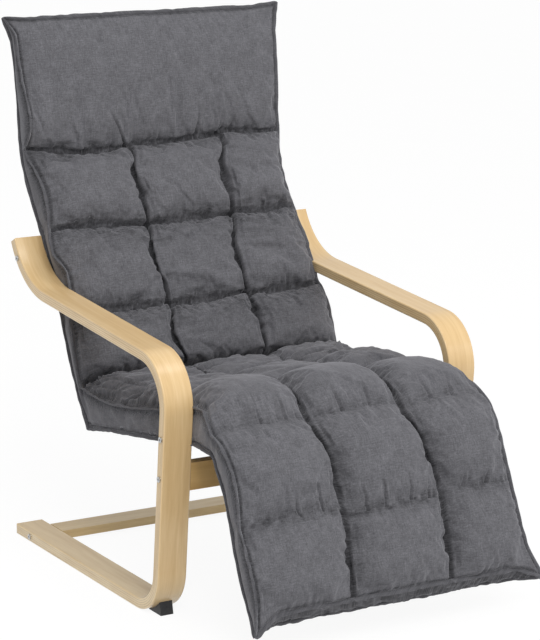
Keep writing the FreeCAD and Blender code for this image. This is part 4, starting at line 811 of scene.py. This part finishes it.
# How far the rear panel swells between two rows, in mm, and how near a row the side band is pinched in
REAR_SWELL = 3
PINCH_REACH = 0.12


def squeezed(t):
    """0 where the side frames hold the cushion, between the arms and the legs, and 1 elsewhere."""
    rows = (0, 1.8, 2.05, 2.5, 2.6, 2.95, 3.1, 6, 6.15, 6.42, 6.7, 9)
    return monotone(rows, (1, 1, 0.4, 0.4, 0, 0, 0.7, 0.7, 0, 0, 1, 1), t)


def finer_rows(values, rows):
    """Values at the panel's rows, carried over to the rows of the finer grid."""
    return np.interp(np.arange(rows) / FINER_ROWS, np.arange(len(values)), values)


def cushion_shell(panel, points, arc):
    """Closes the front grid with a side band and a rear panel; returns points, faces and cloth places, then
    for the loop of the seams the front's and the rear's points, the way outwards, cloth places and hem."""
    rows, columns = points.shape[:2]
    t = finer_rows(panel.t, rows)
    rear_yz = rear_curve(t)
    rear_way = np.gradient(smooth_along(rear_yz, 6), axis=0)
    rear_out = unit(np.stack([-rear_way[:, 1], rear_way[:, 0]], axis=1))
    half = half_widths(REAR_ROW_HALVES, REAR_BULGES, REAR_PASSES, t)
    share = np.linspace(-1, 1, columns)
    swell = REAR_SWELL * (1 - share ** 4) * np.abs(np.sin(np.pi * t))[:, None] ** 0.6
    rear = np.empty((rows, columns, 3))
    rear[:, :, 0] = share * half[:, None]
    rear[:, :, 1:] = rear_yz[:, None] + rear_out[:, None] * swell[:, :, None]
    front_ears = []
    rear_ears = []
    for end, side, pull, reach, power in EARS:
        front_corner = points[end, side]
        rear_corner = rear[end, side]
        front_ears.append((front_corner, pull, reach, power))
        rear_pull = (front_corner + pull - rear_corner) * REAR_EAR_SHARE
        rear_ears.append((rear_corner, rear_pull, reach, power))
    points = drawn_ears(points, front_ears)
    rear = drawn_ears(rear, rear_ears)
    front_cloth = np.dstack([points[:, :, 0], arc, np.zeros_like(arc)])
    front_loop = perimeter(points)
    rear_loop = perimeter(rear)
    cloth_loop = perimeter(front_cloth)
    count = len(front_loop)
    middle = columns // 2
    bottom_start = columns + rows - 1
    left_start = bottom_start + columns - 1
    outward = np.zeros((count, 3))
    outward[:columns] = unit(points[0, middle] - points[4, middle])
    outward[columns:bottom_start] = (1, 0, 0)
    outward[bottom_start - 1:left_start] = unit(points[-1, middle] - points[-5, middle])
    outward[left_start:] = (-1, 0, 0)
    outward = unit(closed_smooth(outward, 12))
    loop_t = perimeter(np.repeat(t[:, None], columns, axis=1))
    running = run_lengths(front_loop)
    pinch = 1 - bell(loop_t - np.round(loop_t), PINCH_REACH)
    pinch[:columns] = 1
    pinch[bottom_start:bottom_start + columns] = 1
    between = squeezed(loop_t)
    hem = closed_smooth(np.where(loop_t > len(CELL_COUNTS) - 0.01, 1.0, 0.0), 8)
    at_seat = monotone((0, 3.6, 4, 5.8, 6.1, 9), (0, 0, 1, 1, 0, 0), loop_t)
    depth = np.linalg.norm(front_loop - rear_loop, axis=1)
    everything = [points.reshape(-1, 3)]
    cloth = [front_cloth.reshape(-1, 3)]
    faces = [grid_faces(rows, columns)]
    total = rows * columns
    last = perimeter(np.arange(total).reshape(rows, columns))
    for k in range(1, BAND_STEPS):
        s = k / BAND_STEPS
        wrinkle = noise(running / 12, s * 2.2, 31) * 1.1 * (1.3 - pinch)
        wrinkle += noise(running / 34 + s * 0.8, s * 1.4, 32) * 1.6
        wrinkle += at_seat * noise(running / 24 + s * 2.4, s * 2.0, 35) * 4.4
        wrinkle += hem * (noise(running / 26, s * 5.0, 33) * 4.2 + noise(running / 9, s * 7.0, 34) * 3.4)
        wrinkle *= np.clip(depth / 30, 0, 1) * (0.3 + 0.7 * between)
        bulge = (np.sin(np.pi * s) ** 0.7) * (1.5 + 5.0 * pinch * between) * np.clip(depth / 40, 0.1, 1)
        if k == 1:
            bulge -= SEAM_DIP
        everything.append(front_loop * (1 - s) + rear_loop * s + outward * (bulge + wrinkle)[:, None])
        cloth.append(cloth_loop + (depth * s)[:, None] * (outward * (1, 0, 0) + (0, 0, 1)))
        here = total + np.arange(count)
        faces.append(np.stack([last, here, np.roll(here, -1), np.roll(last, -1)], axis=1)[:, ::-1])
        last = here
        total += count
    coarse = rear[::REAR_STEP, ::REAR_STEP]
    arc_coarse = arc[::REAR_STEP, ::REAR_STEP]
    rear_cloth = np.dstack([coarse[:, :, 0], arc_coarse, np.full_like(arc_coarse, REAR_CLOTH)])
    everything.append(coarse.reshape(-1, 3))
    cloth.append(rear_cloth.reshape(-1, 3))
    faces.append(grid_faces(*coarse.shape[:2], total)[:, ::-1])
    end_loop = perimeter(total + np.arange(arc_coarse.size).reshape(arc_coarse.shape))
    joined = []
    for k, rear_point in enumerate(end_loop):
        following = end_loop[(k + 1) % len(end_loop)]
        f = [last[(k * REAR_STEP + step) % count] for step in range(REAR_STEP + 1)]
        joined += [(rear_point, f[1], f[0]), (rear_point, f[2], f[1]),
                   (rear_point, following, f[3], f[2]), (following, f[4], f[3])]
    faces = [tuple(f) for block in faces for f in block] + joined
    places = np.concatenate(cloth) * MM
    return np.concatenate(everything), faces, places, front_loop, rear_loop, outward, cloth_loop, hem


# Cross-section of a flange seam: shares of its thickness and of its height
FLANGE_SECTION = ((-0.5, -0.35), (-0.5, 0.35), (-0.42, 0.8), (0, 1), (0.42, 0.8), (0.5, 0.35), (0.5, -0.35),
                  (0, -0.5))


def flange(name, loop, way, cloth_loop, height, thickness, material, seed, ruffled):
    """A sewn flange seam: a thin wavy strip that stands out along way from a closed loop of points."""
    running = run_lengths(loop)
    along = unit(closed_smooth(np.roll(loop, -1, axis=0) - np.roll(loop, 1, axis=0), 4))
    way = unit(way - along * np.sum(way * along, axis=1)[:, None])
    across = np.cross(along, way)
    wave = noise(running / 11, 0, seed) * 1.1 + noise(running / 31, 0, seed + 1) * 1.6
    wave += ruffled * (noise(running / 8, 0, seed + 4) * 3.2 + noise(running / 19, 0, seed + 5) * 3)
    tall = height * (1 + 0.16 * noise(running / 17, 0, seed + 2))
    thick = thickness * (1 + 0.2 * noise(running / 14, 0, seed + 3))
    rings = []
    cloth = []
    for across_share, up_share in FLANGE_SECTION:
        aside = across_share * thick + wave * max(up_share, 0)
        rings.append(loop + across * aside[:, None] + way * (up_share * tall)[:, None])
        cloth.append(cloth_loop + (up_share * 8 + across_share * 4, 0, 40))
    size = len(FLANGE_SECTION)
    here = np.arange(len(loop) * size).reshape(-1, size)
    following = np.roll(here, -1, axis=0)
    faces = np.dstack([here, following, np.roll(following, -1, axis=1), np.roll(here, -1, axis=1)])
    points = to_frame(np.stack(rings, axis=1))
    places = np.stack(cloth, axis=1).reshape(-1, 3) * MM
    return new_piece(name, points, faces.reshape(-1, 4), material, cloth=places)


make_camera()
FABRIC = fabric_material("cushion_fabric", 1)
# The welts' fabric: a copy of the cushion's at 0.85 of its colour, painted shade on the seams
SEAM_FABRIC_PAINTED_SHADE = fabric_material("seam_fabric_painted_shade", 0.85)

# Sewn rows that are smoothed, and how far round them, in mm
SOFT_ROWS = ((7, 16), (8, 24))
# Painted shade on the side band's lines, from the front seam on, and then the rear seam
BAND_PAINTED_SHADE = (0.8, 0.35, 0.1, 0, 0, 0, 0.1)

panel = Panel()
panel_points = panel.points(1)
panel_points = panel.scaled(simulate(panel, panel.points(START_RISE)))
fine = finer(panel_points)
fine_rows, fine_columns = fine.shape[:2]
fine_curve = np.stack([finer_rows(values, fine_rows) for values in panel.curve.T], axis=1)
fine_arc = np.repeat(run_lengths(fine_curve)[:, None], fine_columns, axis=1)
fine_x = finer(panel.x)
channel_xs = [fine_x[:, FINER_COLUMNS * column][:, None] for column in COLUMN_INDEX[1:-1]]
fine_row_arcs = fine_arc[panel.row_index * FINER_ROWS, 0]
held = np.ones(fine_arc.shape, bool)
for row, reach in SOFT_ROWS:
    held &= np.abs(fine_arc - fine_row_arcs[row]) >= reach
fine = relaxed(fine, 40, 0.8, held)
fine, painted_shade = gathered(fine, fine_arc, fine_x, fine_row_arcs, channel_xs)
shell = cushion_shell(panel, fine, fine_arc)
shell_points, shell_faces, shell_cloth, front_loop, rear_loop, outward, cloth_loop, hem = shell
cushion = new_piece("cushion", to_frame(shell_points), shell_faces, FABRIC, cloth=shell_cloth)
# Painted shade for each point of the cushion: the front grid's, then the side band's lines beside the seams
painted_shade_values = np.zeros(len(shell_points), np.float32)
painted_shade_values[:painted_shade.size] = painted_shade.ravel()
seam_count = len(front_loop)
for step, seam_painted_shade in enumerate(BAND_PAINTED_SHADE):
    start = painted_shade.size + step * seam_count
    # Painted shade along the hem at the feet, broken up by noise
    hem_shade_noise = 0.8 + 0.5 * noise(np.arange(seam_count) / 5, step * 1.4, 36)
    painted_shade_values[start:start + seam_count] = np.maximum(seam_painted_shade, hem_shade_noise * hem)
cushion.data.attributes.new("painted_fold_shade", "FLOAT", "POINT").data.foreach_set("value", painted_shade_values)

front_normals = perimeter(grid_normals(relaxed(fine.copy(), 4, 0.5, np.zeros(fine.shape[:2], bool))))
front_way = closed_smooth(front_normals * 0.85 + outward * 0.6, 6)
front_welt = flange("front_welt", front_loop, front_way, cloth_loop, 6, 3.2, SEAM_FABRIC_PAINTED_SHADE, 200, hem * 0.7)
rear_way = unit(closed_smooth(rear_loop - front_loop, 6)) * 0.35 + outward
rear_welt = flange("rear_welt", rear_loop, rear_way, cloth_loop, 5.5, 3.6, SEAM_FABRIC_PAINTED_SHADE, 240, hem * 0.3)

for piece in (cushion, front_welt, rear_welt):
    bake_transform(piece)
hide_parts("back_cushion", "seat_cushion", "leg_rest_cushion", "knee_roll", "back_cover",
            "seat_under_cover", "leg_rest_rear_cover")

# Wood, metal and plastic of the CAD nodes

# Corners of the strip's middle line in the side drawing, and its bending radii, in mm
WOOD_PATH = ((592.7, 10.3), (0, 10.3), (-42.5, 478.1), (542.3, 521.2), (585.4, 604.7))
WOOD_RADII = (77, 87, 160)


def strip_pieces():
    """Lines and arcs of the strip's middle line: each with the length before it."""
    points = [np.array(p) * MM + (SHIFT.y, 0) for p in WOOD_PATH]
    found = []
    start = points[0]
    run = 0
    for corner, after, radius in zip(points[1:-1], points[2:], WOOD_RADII):
        radius = radius * MM
        way_in = unit(corner - start)
        way_out = unit(after - corner)
        turn = math.acos(np.clip(way_in @ way_out, -1, 1))
        setback = radius * math.tan(turn / 2)
        begin = corner - way_in * setback
        end = corner + way_out * setback
        length = np.linalg.norm(begin - start)
        found.append((start, run, way_in, length))
        run += length
        centre = corner + unit(way_out - way_in) * math.hypot(radius, setback)
        found.append((centre, run, radius, begin, end, turn))
        run += radius * turn
        start = end
    found.append((start, run, unit(points[-1] - start), np.linalg.norm(points[-1] - start)))
    return found


def line_coordinates(n, dy, dz, run, way, length):
    """Sockets for the length along a line, the distance from it, signed, and how far beyond its ends."""
    t = n.sum((dy, way[0]), (dz, way[1]))
    v = n.sum((dy, -way[1]), (dz, way[0]))
    return n.plus(t, run), v, n.math("MAXIMUM", n.minus(0, t), n.minus(t, length))


def arc_coordinates(n, dy, dz, run, radius, first, last, turn):
    """The same for an arc, whose ends are given from its centre."""
    middle = unit(first + last)
    spin = math.copysign(1, first[0] * middle[1] - first[1] * middle[0])
    out = n.sum((dy, middle[0]), (dz, middle[1]))
    aside = n.sum((dy, -middle[1] * spin), (dz, middle[0] * spin))
    angle = n.math("ARCTAN2", aside, out)
    distance = n.math("SQRT", n.sum((dy, dy), (dz, dz)))
    v = n.times(n.minus(distance, radius), -spin)
    over = n.times(n.minus(n.math("ABSOLUTE", angle), turn / 2), radius)
    return n.plus(n.times(n.plus(angle, turn / 2), radius), run), v, over


def strip_coordinates(n, y, z):
    """Sockets for the length along the strip and the distance from its middle line, signed."""
    best = None
    for (centre_y, centre_z), run, *shape in strip_pieces():
        dy = n.minus(y, centre_y)
        dz = n.minus(z, centre_z)
        if len(shape) == 2:
            u, v, over = line_coordinates(n, dy, dz, run, *shape)
        else:
            radius, begin, end, turn = shape
            first, last = (place - (centre_y, centre_z) for place in (begin, end))
            u, v, over = arc_coordinates(n, dy, dz, run, radius, first, last, turn)
        away = n.plus(n.math("ABSOLUTE", v), n.math("MAXIMUM", over, 0))
        if best is None:
            best = away, u, v
            continue
        nearer = n.math("LESS_THAN", away, best[0])
        keep = n.minus(1, nearer)
        best = (n.math("MINIMUM", away, best[0]), n.sum((u, nearer), (best[1], keep)),
                n.sum((v, nearer), (best[2], keep)))
    return best[1:]


BIRCH_DARK = (0.50, 0.315, 0.135)
BIRCH = (0.62, 0.43, 0.215)
BIRCH_PALE = (0.72, 0.54, 0.31)
# Thickness of a glued layer, in metres, and share of it that its dark line takes on each side
LAYER = 0.0042
LAYER_LINE = 0.11
# Painted light from the floor on the wood near it: its paler, cooler tint, and the height in metres where it
# ends and where it is full
PAINTED_FLOOR_LIGHT = (1.07, 1.14, 1.24)
PAINTED_FLOOR_LIGHT_HEIGHTS = (0.03, 0.09)


def wood_material(name, bent, level):
    """Lacquered birch veneer: long soft grain on the faces and glued layers on the cut edges."""
    material, n, shader = new_material(name)
    x, y, z = n.split(n.add("ShaderNodeTexCoord", output=3))
    u, v, w = x, y, z
    if bent:
        u, v = strip_coordinates(n, y, z)
        w = x
    grain_place = n.combine(u, w, v)
    broad = n.noise(n.stretched(grain_place, 4, 55, 55), 1, 3, 0.55, 0.6)
    fine_grain = n.noise(n.stretched(grain_place, 22, 620, 620), 1, 3, 0.6)
    tone = n.sum((broad, 0.7), (fine_grain, 0.3))
    dark, middle, pale = (tuple(np.multiply(shade, level)) for shade in (BIRCH_DARK, BIRCH, BIRCH_PALE))
    colour = n.ramp(tone, (0.2, dark), (0.5, middle), (0.8, pale))
    if bent:
        normal = n.split(n.add("ShaderNodeNewGeometry", output=1))
        edge_face = n.math("GREATER_THAN", n.math("ABSOLUTE", normal[0]), 0.7)
        height = n.times(v, 1 / LAYER)
        from_line = n.math("ABSOLUTE", n.minus(n.math("FRACT", height), 0.5))
        line = n.math("LESS_THAN", from_line, LAYER_LINE)
        layer_tone = n.noise(n.combine(n.times(u, 9), n.times(n.math("FLOOR", height), 7.3), 0), 1)
        layers = n.ramp(layer_tone, (0.3, tuple(c * 0.93 for c in middle)), (0.7, pale))
        layers = n.mix(n.times(line, 0.5), layers, tuple(c * 0.5 for c in dark))
        colour = n.mix(edge_face, colour, layers)
        # Painted light from the floor: the wood is tinted paler and cooler near it
        painted_floor_light_share = n.remap(z, *PAINTED_FLOOR_LIGHT_HEIGHTS, 1, 0)
        colour = n.mix(painted_floor_light_share, colour, n.mix(1, colour, PAINTED_FLOOR_LIGHT, "MULTIPLY"))
    n.feed(shader, {"Base Color": colour, "Roughness": n.remap(fine_grain, 0.3, 0.7, 0.30, 0.42),
                    "Coat Weight": 0.5, "Coat Roughness": 0.2, "Specular IOR Level": 0.45,
                    "Normal": n.bump(fine_grain, 0.12, 0.0004)})
    return material


STRIP_WOOD = wood_material("bent_birch", True, (1.15, 1.16, 1.16))
# The rails' birch is a darker, more saturated copy: painted shade on the front cross rail under the cushion;
# the dowels share it
RAIL_WOOD_PAINTED_SHADE = wood_material("rail_birch_painted_shade", False, (1.0, 0.92, 0.72))
# The floor rail's birch is a paler copy of the rails': painted light from the floor
FLOOR_RAIL_WOOD_PAINTED_LIGHT = wood_material("floor_rail_birch_painted_light", False, (1.1, 1.15, 1.1))
STEEL = simple_material("zinc_steel", (0.55, 0.55, 0.55), 0.35, 1.0, 90.0, 0.15, 0.0003)
FRAME_STEEL = simple_material("painted_steel", (0.03, 0.03, 0.032), 0.45, 0.0, 70.0, 0.3, 0.0004)
BLACK_PLASTIC = simple_material("black_plastic", (0.018, 0.018, 0.019), 0.5, 0.0, 120.0, 0.3, 0.0004)
PALE_PLASTIC = simple_material("washer_plastic", (0.7, 0.7, 0.68), 0.4, 0.0, 90.0, 0.1, 0.0003)
WEBBING = simple_material("webbing", (0.06, 0.06, 0.062), 0.85, 0.0, 300.0, 0.4, 0.0008)

SLOT_MATERIALS = {
    "laminate": STRIP_WOOD, "rail_wood": RAIL_WOOD_PAINTED_SHADE, "foot_plastic": BLACK_PLASTIC, "bolt_steel": STEEL,
    "frame_steel": FRAME_STEEL, "hinge_steel": STEEL, "washer_plastic": PALE_PLASTIC, "dowel_wood": RAIL_WOOD_PAINTED_SHADE,
    "webbing": WEBBING,
}
for subpart in frame["record"]["subparts"]:
    found = SLOT_MATERIALS.get(subpart["material_slot"])
    if subpart["node"] == "floor_cross_rail":
        found = FLOOR_RAIL_WOOD_PAINTED_LIGHT
    if found:
        node = frame["nodes"][subpart["node"]]
        node.data.materials.clear()
        node.data.materials.append(found)
# Studio

FLOOR_REACH = 12


def make_floor():
    line = (-FLOOR_REACH, 0, FLOOR_REACH)
    points = [(x, y, 0) for y in line for x in line]
    material, n, shader = new_material("studio_floor")
    clouds = n.noise(n.add("ShaderNodeTexCoord", output=3), 3)
    n.feed(shader, {"Base Color": n.ramp(clouds, (0.3, (0.79, 0.79, 0.79)), (0.7, (0.81, 0.81, 0.81))),
                    "Roughness": 0.9})
    path = n.tree.nodes.new("ShaderNodeLightPath").outputs
    seen = n.math("MAXIMUM", path["Is Camera Ray"], path["Is Glossy Ray"])
    seen = n.math("MAXIMUM", seen, path["Is Transmission Ray"])
    glow = n.add("ShaderNodeEmission", {"Color": (1, 1, 1, 1), "Strength": 1.06})
    mixed = n.add("ShaderNodeMixShader", (n.times(seen, 0.86), shader.outputs[0], glow))
    n.feed(n.tree.nodes["Material Output"], {0: mixed})
    floor = new_piece("floor", points, grid_faces(3, 3)[:, ::-1], material, smooth=False)


def make_world():
    world = bpy.data.worlds.new("studio")
    bpy.context.scene.world = world
    world.use_nodes = True
    tree = world.node_tree
    tree.nodes.clear()
    n = Nodes(tree)
    path = tree.nodes.new("ShaderNodeLightPath").outputs
    seen = n.math("MAXIMUM", path["Is Camera Ray"], path["Is Transmission Ray"])
    strength = n.remap(seen, 0, 1, 0.62, 1)
    light = n.add("ShaderNodeBackground", {"Color": (1, 1, 1, 1), "Strength": strength})
    n.feed(tree.nodes.new("ShaderNodeOutputWorld"), {0: light})


def area_light(name, spot, target, size, power):
    light = bpy.data.lights.new(name, "AREA")
    light.shape = "SQUARE"
    light.size = size
    light.energy = power
    lamp = bpy.data.objects.new(name, light)
    bpy.context.scene.collection.objects.link(lamp)
    way = Vector(spot) - Vector(target)
    lamp.matrix_world = Matrix.Translation(spot) @ way.to_track_quat("Z", "Y").to_matrix().to_4x4()


make_floor()
make_world()
area_light("key", (-1.0, -2.9, 3.2), (0, 0, 0.4), 1.8, 76)
area_light("top", (0.5, -0.7, 2.8), (0, 0, 0.5), 1.0, 11)
area_light("fill", (3.0, -2.2, 1.6), (0, 0, 0.5), 1.6, 23)
bpy.context.scene.view_settings.view_transform = "Standard"
